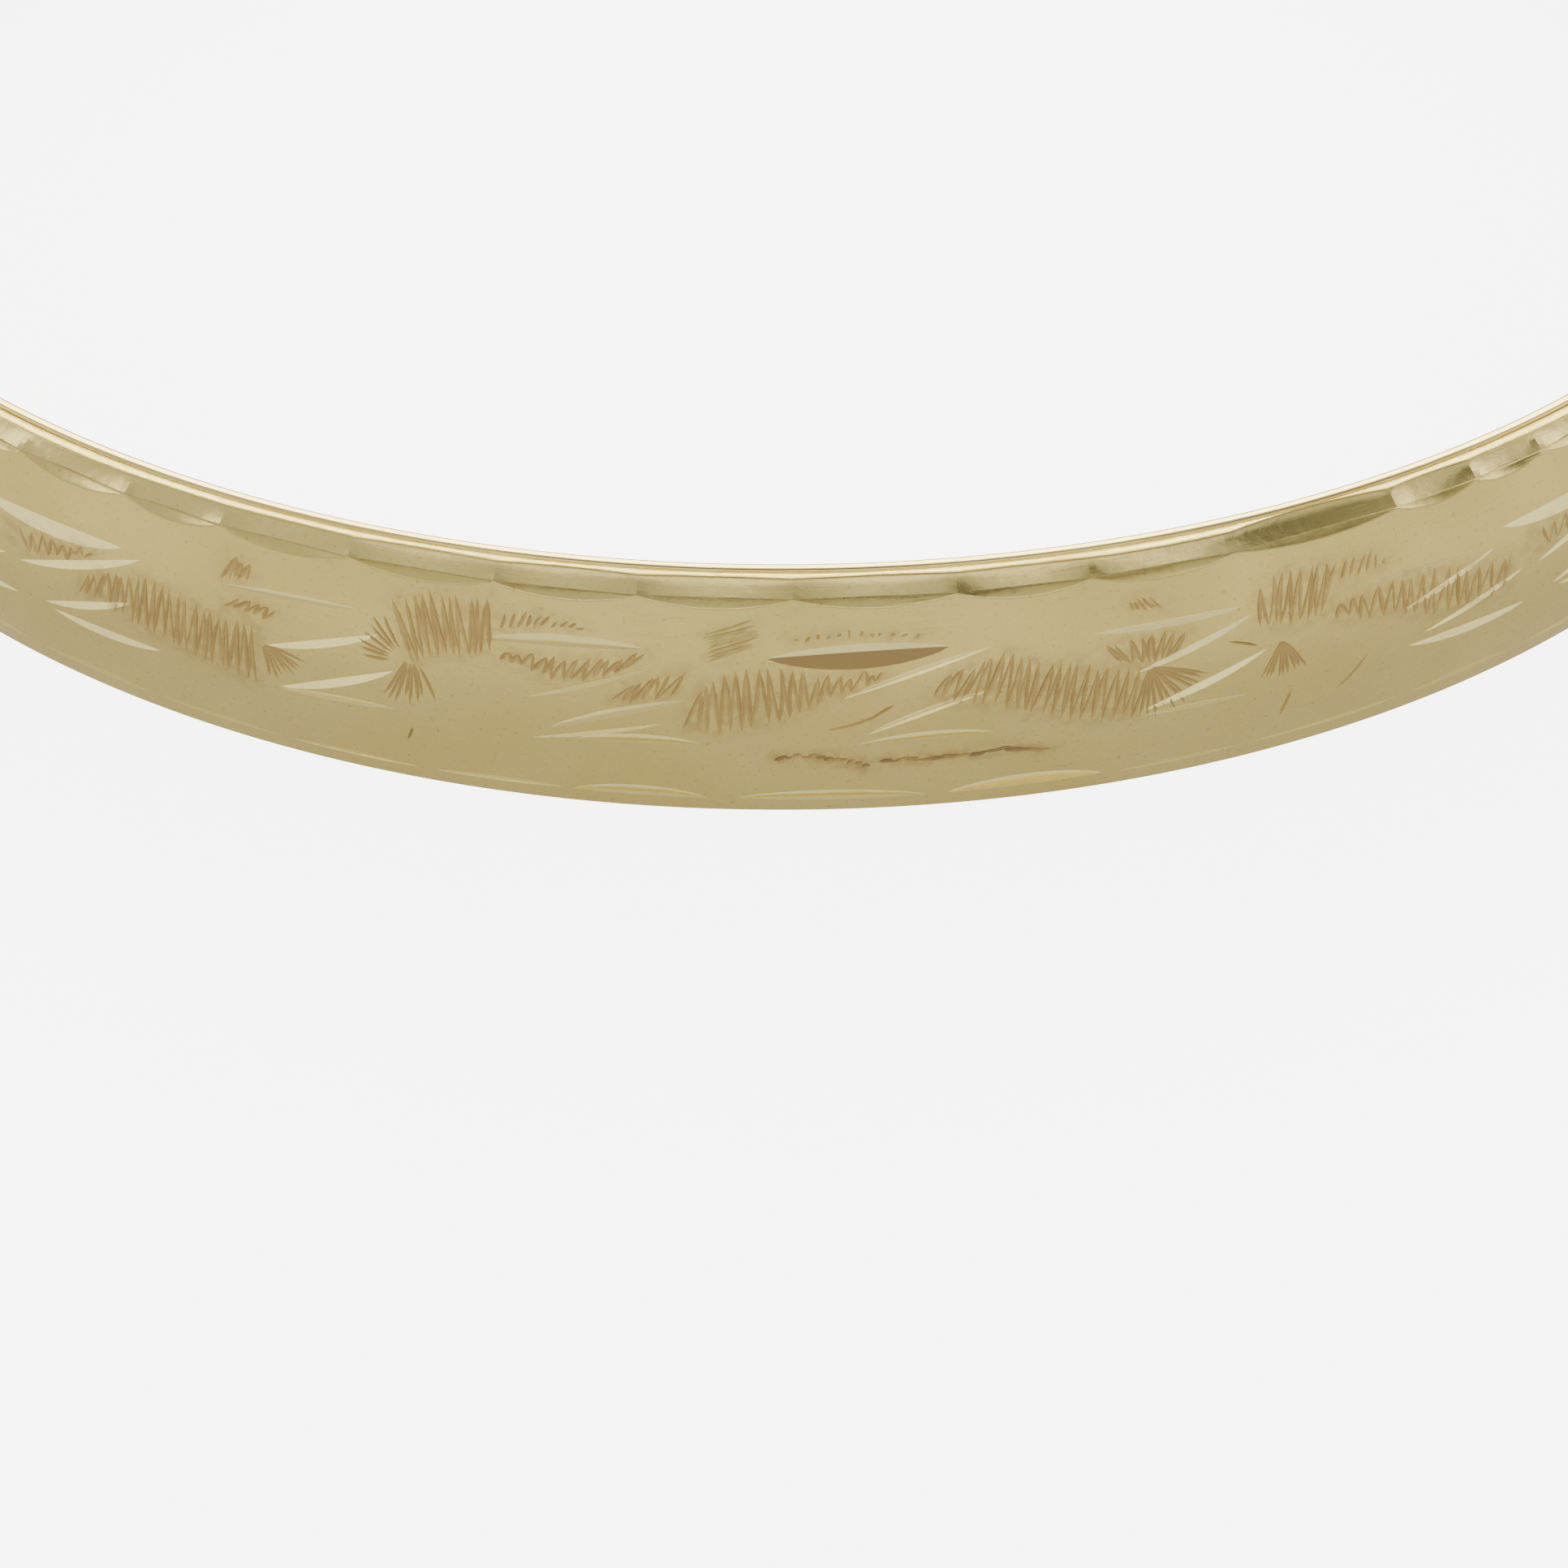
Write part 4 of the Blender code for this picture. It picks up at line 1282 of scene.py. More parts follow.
@dataclass(frozen=True)
class Clasp:
    """The folded tongue spring with its thumb button.

    Attributes:
        inner: the tongue's inner radius, counted from the hinge line.
        sheet: the tongue's thickness.
        reach: how far the tongue goes into the back half.
        root: how far it goes into the front half.
        half: half the tongue's width.
        leaf_sheet: the free leaf's thickness.
        mouth: where the leaf ends, next to the mouth.
        lift: how far the leaf springs away from the tongue.
        oval: the band's shape.
        button: how far out the button's pad begins.
        button_top: how far out it ends.
    """

    oval: Oval = OVAL
    inner: float = 63.68
    sheet: float = 0.18
    reach: float = 4.2
    root: float = -1.6
    half: float = 1.6
    leaf_sheet: float = 0.18
    mouth: float = 0.55
    lift: float = 0.22
    button: float = 32.78
    button_top: float = 33.15

    def strip(self, first: float, last: float, start: float, stop: float, sheet: float) -> np.ndarray:
        """Draw a bent strip whose inner side runs between two radii, square at both ends."""
        y = np.linspace(start, stop, 33)
        radius = np.linspace(first, last, 33)
        inner = np.stack([self.oval.barrel_x + np.sqrt(radius**2 - y * y), y], axis=-1)
        outer = np.stack([self.oval.barrel_x + np.sqrt((radius + sheet) ** 2 - y * y), y], axis=-1)
        line = np.concatenate([outer, inner[::-1]])
        area = np.sum(line[:, 0] * np.roll(line[:, 1], -1) - np.roll(line[:, 0], -1) * line[:, 1])
        return line if area > 0 else line[::-1]

    def thumb(self) -> Piece:
        """Make the thumb button: a domed pad with grip grooves on a short stem.

        Ring k of the pad is the rounded outline drawn towards its middle.

        Returns:
            The piece.
        """
        middle = self.oval.width / 2
        back = rounded([(0.12, middle - 1.1, 0.28), (1.72, middle - 1.1, 0.28), (1.72, middle + 1.1, 0.28),
                        (0.12, middle + 1.1, 0.28)], 6)
        around = np.concatenate([np.linspace(a, b, max(2, math.ceil(math.dist(a, b) / 0.03)), endpoint=False)
                                 for a, b in zip(back, np.roll(back, -1, axis=0))])
        centre = np.array([0.92, middle])
        share = np.concatenate([[1.0, 1.0, 0.985, 0.955], np.linspace(0.90, 0.04, 34)])
        depth = np.concatenate([[self.button + 0.03, self.button_top - 0.13, self.button_top - 0.085,
                                 self.button_top - 0.06], np.zeros(34)])
        rings = centre + (around - centre)[None] * share[:, None, None]
        offset = np.abs(rings[..., 1] - middle)
        groove = 0.045 * np.clip(np.cos(offset * 2 * math.pi / 0.36) - 0.1, 0, 1) * (offset < 0.86)
        dome = 0.05 * share[:, None] ** 4
        x = np.where(depth[:, None] > 0, depth[:, None], self.button_top - dome - groove)
        first = centre + (around - centre) * 0.97
        points = np.concatenate([
            np.column_stack([np.full(len(around), self.button), first]),
            np.stack([x, rings[..., 0], rings[..., 1]], axis=-1).reshape(-1, 3),
        ])
        count = len(around)
        rows = len(share) + 1
        faces = grid_faces(rows, count, True).tolist()
        faces += [list(range(count)), list(range(count * (rows - 1), count * rows))]
        flat = points[:, 1:] + points[:, :1]
        pad = Piece("pad", points * MM, faces, flat, sharp=35.0)
        leaf_top = self.oval.barrel_x + self.inner + self.sheet + 0.03 + self.lift + self.leaf_sheet
        stem = rounded([(0.62, middle - 0.4, 0.08), (1.12, middle - 0.4, 0.08), (1.12, middle + 0.4, 0.08),
                        (0.62, middle + 0.4, 0.08)], 4)
        return joined("grooved_thumb_button", [pad, slab("stem", stem, leaf_top + 0.02, self.button + 0.08,
                                                         0.02, "X")])

    def build(self, shop: Workshop) -> None:
        """Make the tongue, the leaf and the button and put them on their bodies."""
        middle = self.oval.width / 2
        base = self.strip(self.inner, self.inner, self.root, self.reach, self.sheet)
        plate = slab("tongue_spring", base, middle - self.half, middle + self.half, 0.04)
        shop.fit(plate, Body.FRONT, "spring_gold", "tongue")
        start = self.inner + self.sheet + 0.03
        free = self.strip(start, start + self.lift, self.reach - 0.03, self.mouth, self.leaf_sheet)
        wide = self.half - 0.15
        leaf_piece = slab("snap_spring_leaf", free, middle - wide, middle + wide, 0.04)
        shop.fit(leaf_piece, Body.SNAP, "spring_gold", "snap_leaf")
        shop.fit(self.thumb(), Body.SNAP, "hinge_gold", "thumb_button")


# --------------------------------------------------------------------------------------------------
# The safety catch
# --------------------------------------------------------------------------------------------------


@dataclass(frozen=True)
class SafetyCatch:
    """The figure-of-eight catch, the ears that carry it and the stud it closes over.

    Attributes:
        oval: the band's shape.
        x: where the catch lies along the oval's length.
        pivot_y: where its pin lies across the oval.
        pivot_up: height of the pin above the upper rim.
        loop_up: height of the two loops above the rim.
        bead_up: height of the stud's ball above the rim.
        wire: radius of the loops' wire.
        small: radius of the small loop's centre line.
        large: radius of the large loop's centre line.
        ear: radius of an ear.
        ear_sheet: thickness of an ear.
        ear_gap: distance between the two ears.
        pin_radius: the pin's radius.
        eye: outer radius of the catch's eye.
        eye_bore: inner radius of the catch's eye.
        stud_y: where the stud stands across the oval.
    """

    oval: Oval = OVAL
    x: float = 31.3
    pivot_y: float = -2.5
    pivot_up: float = 0.45
    loop_up: float = 0.30
    bead_up: float = 0.80
    wire: float = 0.22
    small: float = 0.75
    large: float = 0.95
    ear: float = 0.38
    ear_sheet: float = 0.25
    ear_gap: float = 0.44
    pin_radius: float = 0.15
    eye: float = 0.40
    eye_bore: float = 0.20
    stud_y: float = 0.72

    def tube(self, name: str, bore: float, outside: float, low: float, high: float) -> Piece:
        """Make a ring with eased edges about the catch's pivot."""
        ease = 0.045
        profile = [(bore, low + ease), (bore + ease, low), (outside - ease, low),
                   (outside - ease * 0.3, low + ease * 0.3), (outside, low + ease), (outside, high - ease),
                   (outside - ease * 0.3, high - ease * 0.3), (outside - ease, high), (bore + ease, high),
                   (bore, high - ease)]
        centre = (0.0, self.pivot_y, self.oval.width + self.pivot_up)
        return turned(name, profile, centre, "X", 56)

    def lug(self, name: str, low: float) -> Piece:
        """Make one ear with its foot let into the rim."""
        high = low + self.ear_sheet
        width = self.oval.width
        ear = self.tube(name, 0.17, self.ear, low, high)
        near, far = self.pivot_y - self.ear, self.pivot_y + self.ear
        foot = rounded([(near, width + 0.005, 0.02), (far, width + 0.005, 0.02),
                        (far - 0.03, width + 0.27, 0.05), (near + 0.03, width + 0.27, 0.05)], 4)
        return joined(name, [ear, slab(name, foot, low + 0.004, high - 0.004, 0.035, "X")])

    def eight(self) -> Piece:
        """Make the catch: its eye, a flattened neck and the two loops of wire.

        Returns:
            The piece.
        """
        level = self.oval.width + self.loop_up
        small_y = self.pivot_y + 0.55 + self.small + self.wire
        large_y = small_y + self.small + self.large
        eye = self.tube("eye", self.eye_bore, self.eye, self.x - 0.19, self.x + 0.19)
        start = self.pivot_y + 0.24
        neck = rounded([(start, level - 0.16, 0.05), (small_y - self.small, level - 0.15, 0.05),
                        (small_y - self.small, level + 0.15, 0.05), (start, level + 0.16, 0.05)], 4)
        parts = [eye, slab("neck", neck, self.x - 0.165, self.x + 0.165, 0.05, "X")]
        parts.append(ring("small", (self.x, small_y, level), self.small, self.wire))
        parts.append(ring("large", (self.x, large_y, level), self.large, self.wire))
        bead = [(0.0, -0.20), (0.12, -0.19), (0.21, -0.13), (0.25, 0.0), (0.21, 0.13), (0.12, 0.19),
                (0.0, 0.20)]
        parts.append(turned("solder", bead, (self.x, small_y + self.small, level), sides=32))
        return joined("figure_of_eight_catch", parts)

    def pin(self) -> Piece:
        """Make the catch's pin, its ends lightly rounded over."""
        reach = self.ear_gap / 2 + self.ear_sheet + 0.10
        radius = self.pin_radius
        bend = np.radians([0, 30, 60, 90])
        cap = [(radius * math.sin(b), self.x - reach + 0.07 * (1 - math.cos(b))) for b in bend]
        profile = cap + [(r, 2 * self.x - v) for r, v in cap[::-1]]
        return turned("catch_rivet", profile, (0.0, self.pivot_y, self.oval.width + self.pivot_up), "X", 40)

    def stud(self) -> Piece:
        """Make the stud: a collar on the rim, a post and a ball."""
        floor, top = self.oval.width + 0.012, self.oval.width + self.bead_up
        turn = np.radians(np.linspace(-55, 90, 20))
        ball = [(0.36 * math.cos(t), top + 0.36 * math.sin(t)) for t in turn]
        ball[-1] = (0.0, top + 0.36)
        profile = [(0.0, floor), (0.28, floor), (0.30, floor + 0.02), (0.27, floor + 0.06),
                   (0.21, floor + 0.10), (0.19, floor + 0.2)] + ball
        return turned("ball_stud", profile, (self.x, self.stud_y, 0.0), sides=56)

    def build(self, shop: Workshop) -> None:
        """Make every piece of the catch and put it on its body."""
        inner = self.x - self.ear_gap / 2 - self.ear_sheet
        outer = self.x + self.ear_gap / 2
        shop.fit(self.lug("catch_ear_inner", inner), Body.FRONT, "hinge_gold", "catch_lug_inner")
        shop.fit(self.lug("catch_ear_outer", outer), Body.FRONT, "hinge_gold", "catch_lug_outer")
        shop.fit(self.pin(), Body.FRONT, "pin_gold", "catch_pin")
        shop.fit(self.eight(), Body.CATCH, "hinge_gold", "safety_catch")
        shop.fit(self.stud(), Body.BACK, "hinge_gold", "catch_stud")


# --------------------------------------------------------------------------------------------------
# Finishes
# --------------------------------------------------------------------------------------------------


class Wiring:
    """Adds nodes to a shader tree and joins them.

    Args:
        tree: the material's or group's node tree.
    """

    def __init__(self, tree: bpy.types.NodeTree) -> None:
        """Keep the tree that the nodes go into."""
        self.tree = tree

    def add(self, kind: str, **settings: object) -> bpy.types.Node:
        """Add a node and set its properties."""
        node = self.tree.nodes.new(kind)
        for name, value in settings.items():
            setattr(node, name, value)
        return node

    def join(self, source: bpy.types.NodeSocket, target: bpy.types.NodeSocket) -> None:
        """Link an output to an input."""
        self.tree.links.new(source, target)

    def feed(self, target: bpy.types.NodeSocket, value: object) -> None:
        """Link an output to an input, or set the input to a plain value."""
        if isinstance(value, bpy.types.NodeSocket):
            self.join(value, target)
        else:
            target.default_value = value

    def maths(self, operation: str, first: object, second: object = 0.0,
              clamp: bool = False) -> bpy.types.NodeSocket:
        """Combine two values and return the result's socket."""
        node = self.add("ShaderNodeMath", operation=operation, use_clamp=clamp)
        self.feed(node.inputs[0], first)
        self.feed(node.inputs[1], second)
        return node.outputs[0]

    def ramp(self, value: object, low: float, high: float, start: object = 0.0,
             stop: object = 1.0) -> bpy.types.NodeSocket:
        """Map a value smoothly from one range to another and return the result's socket."""
        node = self.add("ShaderNodeMapRange", interpolation_type="SMOOTHSTEP")
        for socket, part in zip(node.inputs, (value, low, high, start, stop)):
            self.feed(socket, part)
        return node.outputs["Result"]

    def noise(self, vector: object, scale: object, detail: float = 2.0,
              roughness: float = 0.5) -> bpy.types.NodeSocket:
        """Add a noise texture and return its value socket."""
        node = self.add("ShaderNodeTexNoise")
        self.feed(node.inputs["Vector"], vector)
        self.feed(node.inputs["Scale"], scale)
        node.inputs["Detail"].default_value = detail
        node.inputs["Roughness"].default_value = roughness
        return node.outputs["Fac"]

    def mix(self, share: object, first: object, second: object) -> bpy.types.NodeSocket:
        """Mix two colours and return the result's socket."""
        node = self.add("ShaderNodeMix", data_type="RGBA")
        self.feed(node.inputs[0], share)
        self.feed(node.inputs[6], first)
        self.feed(node.inputs[7], second)
        return node.outputs[2]


def new_group(name: str, inputs: dict[str, str], outputs: dict[str, str]) -> tuple:
    """Make an empty node group, or find the one already made.

    Args:
        name: the group's name.
        inputs: socket names and kinds.
        outputs: socket names and kinds.

    Returns:
        The group, its wiring, its input node and its output node; the last three are None if it exists.
    """
    found = bpy.data.node_groups.get(name)
    if found:
        return found, None, None, None
    group = bpy.data.node_groups.new(name, "ShaderNodeTree")
    for label, kind in inputs.items():
        group.interface.new_socket(label, in_out="INPUT", socket_type=kind)
    for label, kind in outputs.items():
        group.interface.new_socket(label, in_out="OUTPUT", socket_type=kind)
    wiring = Wiring(group)
    return group, wiring, wiring.add("NodeGroupInput"), wiring.add("NodeGroupOutput")


def scratches_group() -> bpy.types.NodeTree:
    """Make the hairline scratches that wiping and wearing leave on polished metal.

    Returns:
        The group.
    """
    group, wiring, source, sink = new_group(
        "hairline_scratches",
        {"Vector": "NodeSocketVector", "Spacing": "NodeSocketFloat", "Amount": "NodeSocketFloat"},
        {"Mask": "NodeSocketFloat", "Height": "NodeSocketFloat"},
    )
    if wiring is None:
        return group
    masks = []
    for turn, stretch in ((0.06, 26.0), (-0.22, 34.0), (0.5, 30.0)):
        place = wiring.add("ShaderNodeMapping")
        wiring.join(source.outputs["Vector"], place.inputs["Vector"])
        place.inputs["Rotation"].default_value = (turn * 0.3, turn * 0.2, turn)
        place.inputs["Scale"].default_value = (1.0, stretch, stretch)
        value = wiring.noise(place.outputs[0], source.outputs["Spacing"], 0.0)
        masks.append(wiring.ramp(value, 0.70, 0.78))
    patch = wiring.noise(source.outputs["Vector"], 0.35, 2.0)
    shown = wiring.ramp(patch, 0.42, 0.62)
    both = wiring.maths("MAXIMUM", masks[0], wiring.maths("MAXIMUM", masks[1], masks[2]))
    mask = wiring.maths("MULTIPLY", wiring.maths("MULTIPLY", both, shown), source.outputs["Amount"], True)
    wiring.join(mask, sink.inputs["Mask"])
    wiring.join(wiring.maths("MULTIPLY", mask, -1.0), sink.inputs["Height"])
    return group


def grain_group() -> bpy.types.NodeTree:
    """Make the fine unevenness and the soft clouding of rolled and hand-worked gold sheet.

    Returns:
        The group.
    """
    group, wiring, source, sink = new_group(
        "worked_sheet_grain",
        {"Vector": "NodeSocketVector", "Fineness": "NodeSocketFloat", "Dents": "NodeSocketFloat"},
        {"Height": "NodeSocketFloat", "Clouding": "NodeSocketFloat", "Speckle": "NodeSocketFloat"},
    )
    if wiring is None:
        return group
    fine = wiring.noise(source.outputs["Vector"], source.outputs["Fineness"], 3.0, 0.6)
    wide = wiring.noise(source.outputs["Vector"], 0.22, 2.0)
    middle = wiring.noise(source.outputs["Vector"], 1.1, 2.0)
    dents = wiring.maths("MULTIPLY", middle, source.outputs["Dents"])
    height = wiring.maths("ADD", wiring.maths("MULTIPLY", fine, 0.08), dents)
    wiring.join(height, sink.inputs["Height"])
    wiring.join(wiring.ramp(wide, 0.3, 0.7), sink.inputs["Clouding"])
    wiring.join(wiring.ramp(fine, 0.58, 0.75), sink.inputs["Speckle"])
    return group


@dataclass(frozen=True)
class Gold:
    """Gold sheet or wire with a worked, worn surface.

    Attributes:
        name: the material's name.
        colour: linear red, green and blue reflected straight on.
        roughness: how blurred its reflections are.
        grain: strength of the fine unevenness.
        dents: strength of the gentle waviness.
        scratches: share of the surface with hairline scratches.
        banded: whether it follows the piece's flat layout rather than its place.
    """

    name: str
    colour: tuple[float, float, float]
    roughness: float
    grain: float = 0.25
    dents: float = 0.5
    scratches: float = 0.5
    banded: bool = True

    def place(self, wiring: Wiring) -> bpy.types.NodeSocket:
        """Give the coordinates that the finish follows, in millimetres."""
        if self.banded:
            layout = wiring.add("ShaderNodeUVMap", uv_map="band")
            return layout.outputs["UV"]
        coordinates = wiring.add("ShaderNodeTexCoord")
        scaled = wiring.add("ShaderNodeVectorMath", operation="SCALE")
        wiring.join(coordinates.outputs["Object"], scaled.inputs[0])
        scaled.inputs["Scale"].default_value = 1000.0
        return scaled.outputs[0]

    def base(self, wiring: Wiring, grain: bpy.types.Node, scratch: bpy.types.Node) -> tuple:
        """Work out the colour and the roughness before any special places are added.

        Args:
            wiring: the material's wiring.
            grain: the grain group's node.
            scratch: the scratches group's node.

        Returns:
            The colour's socket and the roughness's socket.
        """
        red, green, blue = self.colour
        warm = (red * 0.96, green * 0.93, blue * 0.86, 1.0)
        tone = wiring.mix(grain.outputs["Clouding"], (red, green, blue, 1.0), warm)
        dull = wiring.mix(0.85, tone, (red * 0.55, green * 0.52, blue * 0.42, 1.0))
        tone = wiring.mix(wiring.maths("MULTIPLY", grain.outputs["Speckle"], self.grain), tone, dull)
        pale = (min(1.0, red * 1.10), min(1.0, green * 1.12), min(1.0, blue * 1.22), 1.0)
        share = wiring.maths("MULTIPLY", scratch.outputs["Mask"], 0.5)
        colour = wiring.mix(share, tone, pale)
        low, high = self.roughness * 0.92, self.roughness * 1.10
        rough = wiring.ramp(grain.outputs["Clouding"], 0.0, 1.0, low, high)
        rough = wiring.maths("ADD", rough, wiring.maths("MULTIPLY", scratch.outputs["Mask"], 0.12))
        return colour, rough

    def build(self) -> bpy.types.Material:
        """Make the material.

        Returns:
            The new material.
        """
        made = bpy.data.materials.new(self.name)
        made.use_nodes = True
        wiring = Wiring(made.node_tree)
        shader = made.node_tree.nodes["Principled BSDF"]
        place = self.place(wiring)
        grain = wiring.add("ShaderNodeGroup", node_tree=grain_group())
        wiring.join(place, grain.inputs["Vector"])
        grain.inputs["Fineness"].default_value = 6.5
        grain.inputs["Dents"].default_value = self.dents
        scratch = wiring.add("ShaderNodeGroup", node_tree=scratches_group())
        wiring.join(place, scratch.inputs["Vector"])
        scratch.inputs["Spacing"].default_value = 0.9
        scratch.inputs["Amount"].default_value = self.scratches
        colour, rough = self.base(wiring, grain, scratch)
        colour, rough = self.special(wiring, colour, rough)
        bump = wiring.add("ShaderNodeBump")
        bump.inputs["Strength"].default_value = self.grain
        bump.inputs["Distance"].default_value = 0.00006
        height = wiring.maths("ADD", grain.outputs["Height"],
                              wiring.maths("MULTIPLY", scratch.outputs["Height"], 0.15))
        wiring.join(height, bump.inputs["Height"])
        wiring.join(bump.outputs["Normal"], shader.inputs["Normal"])
        wiring.join(colour, shader.inputs["Base Color"])
        wiring.join(rough, shader.inputs["Roughness"])
        shader.inputs["Metallic"].default_value = 1.0
        return made

    def special(self, wiring: Wiring, colour: object, rough: object) -> tuple:
        """Leave the colour and roughness as they are; finishes with special places change them."""
        return colour, rough


@dataclass(frozen=True)
class EngravedGold(Gold):
    """Satin gold sheet whose graver cuts are polished and painted with a highlight.

    Attributes:
        cut_colour: paler gold painted on the bright walls as a highlight.
        cut_roughness: roughness of the bright walls.
        stain: brown of the narrow strokes and darkened walls: dirt in the cuts, and painted shade.
        tarnish: near-black of the few cuts darkened further: the tarnished smears, and a leaf wall in painted
            shade.
    """

    cut_colour: tuple[float, float, float] = (0.90, 0.77, 0.33)
    cut_roughness: float = 0.20
    stain: tuple[float, float, float] = (0.35, 0.235, 0.085)
    tarnish: tuple[float, float, float] = (0.15, 0.125, 0.075)

    def special(self, wiring: Wiring, colour: object, rough: object) -> tuple:
        """Paint a highlight on the broad cuts, brown the narrow ones with stain and painted shade, and cloud
        the metal round the shading.

        Args:
            wiring: the material's wiring.
            colour: the plain colour's socket.
            rough: the plain roughness's socket.

        Returns:
            The colour's socket and the roughness's socket.
        """
        bright = wiring.add("ShaderNodeAttribute", attribute_name="bright").outputs["Fac"]
        stain = wiring.add("ShaderNodeAttribute", attribute_name="stain").outputs["Fac"]
        # Painted highlight: the bright walls are mixed towards a paler gold.
        colour = wiring.mix(wiring.maths("MULTIPLY", bright, 1.0, True), colour, (*self.cut_colour, 1.0))
        smear = wiring.add("ShaderNodeAttribute", attribute_name="smear").outputs["Fac"]
        patches = wiring.noise(self.place(wiring), 2.6, 3.0)
        uneven = wiring.ramp(patches, 0.38, 0.62, 0.10, 0.48)
        colour = wiring.mix(wiring.maths("MULTIPLY", smear, uneven, True), colour, (*self.stain, 1.0))
        # Stain and painted shade: strokes and shaded walls go brown, and past 1 towards near-black.
        colour = wiring.mix(wiring.maths("MULTIPLY", stain, 0.85, True), colour, (*self.stain, 1.0))
        black = wiring.maths("SUBTRACT", stain, 1.0, True)
        colour = wiring.mix(black, colour, (*self.tarnish, 1.0))
        plain = wiring.maths("SUBTRACT", 1.0, bright, True)
        rough = wiring.maths("ADD", wiring.maths("MULTIPLY", rough, plain),
                             wiring.maths("MULTIPLY", bright, self.cut_roughness))
        return colour, wiring.maths("ADD", rough, wiring.maths("MULTIPLY", stain, 0.22), True)


@dataclass(frozen=True)
class Goldwork:
    """The gold finishes of the whole bangle, by the record's material slots.

    Attributes:
        engraved: satin sheet of the engraved half.
        plain: polished sheet of the back half.
        liner: polished sheet of the two liners.
        block: filed blocks and plates that close the hollow ends.
        hinge: knuckles, button, catch and stud.
        pin: hinge pin and catch rivet.
        spring: work-hardened tongue and leaf.
    """

    engraved: Gold = EngravedGold("engraved_gold_sheet", (0.590, 0.472, 0.158), 0.27, 0.80, 0.5, 0.2)
    plain: Gold = Gold("plain_gold_sheet", (0.70, 0.585, 0.23), 0.11, 0.14, 0.45, 0.5)
    liner: Gold = Gold("liner_gold_sheet", (0.70, 0.585, 0.23), 0.14, 0.16, 0.5, 0.7)
    block: Gold = Gold("filed_gold_block", (0.56, 0.43, 0.17), 0.38, 0.40, 0.4, 1.0, False)
    hinge: Gold = Gold("hinge_gold", (0.66, 0.52, 0.21), 0.20, 0.18, 0.4, 0.6, False)
    pin: Gold = Gold("pin_gold", (0.60, 0.47, 0.19), 0.24, 0.20, 0.3, 0.5, False)
    spring: Gold = Gold("spring_gold", (0.62, 0.49, 0.20), 0.26, 0.22, 0.3, 0.9, False)


# --------------------------------------------------------------------------------------------------
# Studio
# --------------------------------------------------------------------------------------------------


@dataclass(frozen=True)
class Softbox:
    """One rectangular light aimed at the bangle.

    Attributes:
        name: the light's name.
        place: where it stands, in metres.
        size: its width and height in metres.
        power: its strength in watts.
        colour: its colour.
    """

    name: str
    place: tuple[float, float, float]
    size: tuple[float, float]
    power: float
    colour: tuple[float, float, float] = (1.0, 1.0, 1.0)

    def build(self) -> None:
        """Put the light in the scene."""
        lamp = bpy.data.lights.new(self.name, "AREA")
        lamp.shape = "RECTANGLE"
        lamp.size, lamp.size_y = self.size
        lamp.energy = self.power
        lamp.color = self.colour
        holder = bpy.data.objects.new(self.name, lamp)
        holder.location = self.place
        aim = Vector((0.0, 0.0, 0.004)) - Vector(self.place)
        holder.rotation_euler = aim.to_track_quat("-Z", "Y").to_euler()
        bpy.context.scene.collection.objects.link(holder)


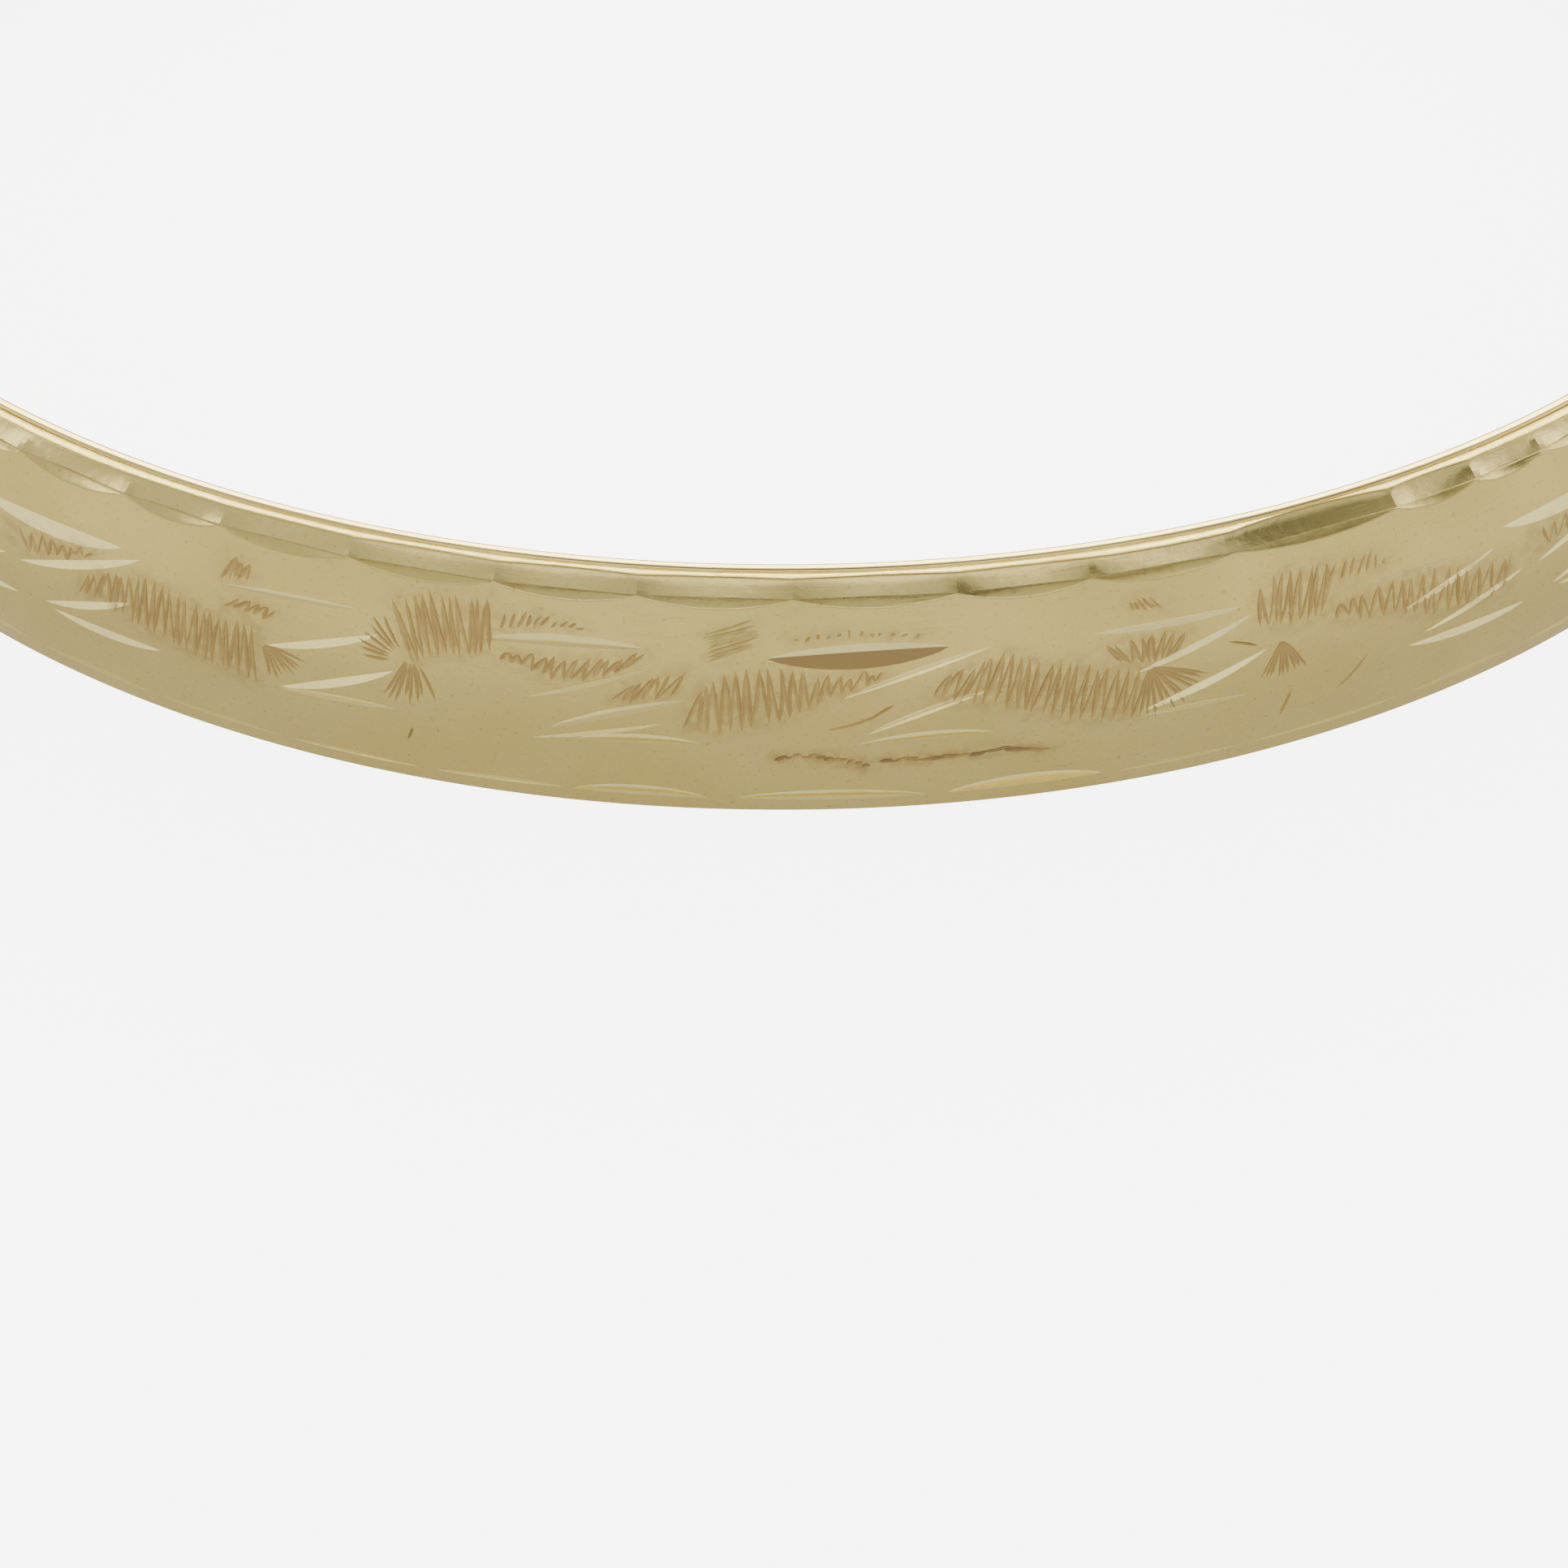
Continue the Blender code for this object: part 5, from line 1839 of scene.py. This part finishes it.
@dataclass(frozen=True)
class Studio:
    """A pale floor, soft light and the camera.

    Attributes:
        floor_colour: the paper's own colour.
        floor_glow: how far the paper seen directly is lifted towards white.
        floor_lift: how much the paper seen in the gold is lifted.
        sky: strength of the even light all round.
        overhead: strength of the air straight above, darker so that rounded edges show.
        card: direction of a small dark card that gives the bright-cut facets some depth.
        boxes: the softboxes.
        eye: where the camera stands, in metres.
        pitch: how far it looks down, in degrees.
        lens: its focal length in millimetres.
    """

    floor_colour: tuple[float, float, float] = (0.66, 0.66, 0.655)
    floor_glow: float = 6.0
    floor_lift: float = 0.42
    sky: float = 0.95
    overhead: float = 0.06
    card: tuple[float, float, float] = (0.490, -0.135, 0.861)
    boxes: tuple[Softbox, ...] = (
        Softbox("back_softbox", (0.0, 0.34, 0.31), (0.42, 0.17), 2.2, (1.0, 0.94, 0.74)),
        Softbox("left_softbox", (-0.46, 0.02, 0.26), (0.22, 0.24), 0.45),
        Softbox("right_softbox", (0.46, 0.02, 0.26), (0.22, 0.24), 0.45),
        Softbox("front_softbox", (0.0, -0.40, 0.34), (0.60, 0.16), 0.45),
    )
    eye: tuple[float, float, float] = (0.000084, -0.120863, 0.085049)
    pitch: float = 42.0
    lens: float = 108.65

    def floor(self) -> None:
        """Lay the floor under the bangle."""
        mesh = bpy.data.meshes.new("floor")
        reach = 1.5
        mesh.from_pydata(
            [(-reach, -reach, 0), (reach, -reach, 0), (reach, reach, 0), (-reach, reach, 0)], [],
            [(0, 1, 2, 3)],
        )
        paint = bpy.data.materials.new("floor_paper")
        paint.use_nodes = True
        shader = paint.node_tree.nodes["Principled BSDF"]
        shader.inputs["Base Color"].default_value = (*self.floor_colour, 1.0)
        shader.inputs["Roughness"].default_value = 0.9
        shader.inputs["Emission Color"].default_value = (1.0, 1.0, 1.0, 1.0)
        wiring = Wiring(paint.node_tree)
        path = wiring.add("ShaderNodeLightPath")
        glow = wiring.maths("MULTIPLY", path.outputs["Is Camera Ray"], self.floor_glow)
        glow = wiring.maths("MAXIMUM", glow, wiring.maths("MULTIPLY", path.outputs["Is Glossy Ray"],
                                                          self.floor_lift))
        wiring.join(glow, shader.inputs["Emission Strength"])
        mesh.materials.append(paint)
        floor = bpy.data.objects.new("floor", mesh)
        bpy.context.scene.collection.objects.link(floor)

    def air(self) -> None:
        """Light the air all round: even, dark straight overhead and behind the dark card."""
        world = bpy.data.worlds.new("studio_air")
        world.use_nodes = True
        glow = world.node_tree.nodes["Background"]
        glow.inputs["Color"].default_value = (1.0, 1.0, 1.0, 1.0)
        wiring = Wiring(world.node_tree)
        aim = wiring.add("ShaderNodeTexCoord")
        split = wiring.add("ShaderNodeSeparateXYZ")
        wiring.join(aim.outputs["Generated"], split.inputs[0])
        light = wiring.ramp(split.outputs["Z"], 0.960, 0.988, self.sky, self.overhead)
        near = wiring.add("ShaderNodeVectorMath", operation="DOT_PRODUCT")
        wiring.join(aim.outputs["Generated"], near.inputs[0])
        near.inputs[1].default_value = self.card
        light = wiring.maths("MULTIPLY", light, wiring.ramp(near.outputs["Value"], 0.972, 0.988, 1.0, 0.02))
        wiring.join(light, glow.inputs["Strength"])
        bpy.context.scene.world = world

    def camera(self) -> None:
        """Stand the camera in its place and make it the scene's."""
        camera = bpy.data.cameras.new("camera")
        camera.sensor_width = 36.0
        camera.lens = self.lens
        camera.clip_start = 0.005
        holder = bpy.data.objects.new("camera", camera)
        holder.location = self.eye
        holder.rotation_euler = (math.radians(90.0 - self.pitch), 0.0, 0.0)
        bpy.context.scene.collection.objects.link(holder)
        bpy.context.scene.camera = holder

    def build(self) -> None:
        """Set up the floor, the light and the camera."""
        self.floor()
        self.air()
        for box in self.boxes:
            box.build()
        self.camera()


# --------------------------------------------------------------------------------------------------
# Assembly
# --------------------------------------------------------------------------------------------------


@dataclass
class Workshop:
    """Puts finished pieces on the frame's bodies.

    Attributes:
        frame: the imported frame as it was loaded.
        finishes: the gold finishes.
        materials: the materials made so far, by name.
    """

    frame: dict
    finishes: Goldwork = field(default_factory=Goldwork)
    materials: dict = field(default_factory=dict)

    def material(self, slot: str) -> bpy.types.Material:
        """Give the material of a slot, made when first asked for."""
        if slot not in self.materials:
            self.materials[slot] = getattr(self.finishes, slot.replace("_gold", "")).build()
        return self.materials[slot]

    def dress_frame(self) -> None:
        """Give every node of the frame the solid-place finish of its slot."""
        for name, node in self.frame["nodes"].items():
            for spot in node.material_slots:
                slot = spot.material.name.split(".")[0]
                spot.material = self.solid(slot)

    def solid(self, slot: str) -> bpy.types.Material:
        """Give a slot's finish for a mesh that has no flat layout."""
        key = slot + "_solid"
        if key not in self.materials:
            gold = getattr(self.finishes, slot.replace("_gold", ""))
            self.materials[key] = Gold(
                key, gold.colour, gold.roughness, gold.grain, gold.dents, gold.scratches, False
            ).build()
        return self.materials[key]

    def fit(self, piece: Piece, body: Body, slot: str, *nodes: str) -> bpy.types.Object:
        """Build a piece, dress it and put it on its body in place of nodes of the frame.

        Args:
            piece: the piece.
            body: the body it rides on.
            slot: the record's material slot.
            nodes: the nodes it stands for.

        Returns:
            The new object.
        """
        made = piece.build()
        made.data.materials.append(self.material(slot))
        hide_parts(*nodes)
        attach(made, body.value)
        LOG.info("%s: %d triangles", made.name, sum(len(p.vertices) - 2 for p in made.data.polygons))
        return made


def main() -> None:
    logging.basicConfig(level=logging.INFO, format="%(name)s: %(message)s")
    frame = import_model()
    shop = Workshop(frame)
    shop.dress_frame()
    shop.fit(EngravedShell().piece(), Body.FRONT, "engraved_gold", "front_outer_shell")
    shop.fit(PlainBand("front_liner", True, True).piece(), Body.FRONT, "liner_gold", "front_inner_liner")
    shop.fit(PlainBand("back_liner", False, True).piece(), Body.BACK, "liner_gold", "back_inner_liner")
    shop.fit(PlainBand("back_shell", False, False).piece(), Body.BACK, "plain_gold", "back_outer_shell")
    Hinge().build(shop)
    Clasp().build(shop)
    SafetyCatch().build(shop)
    Studio().build()


if __name__ == "__main__":
    main()
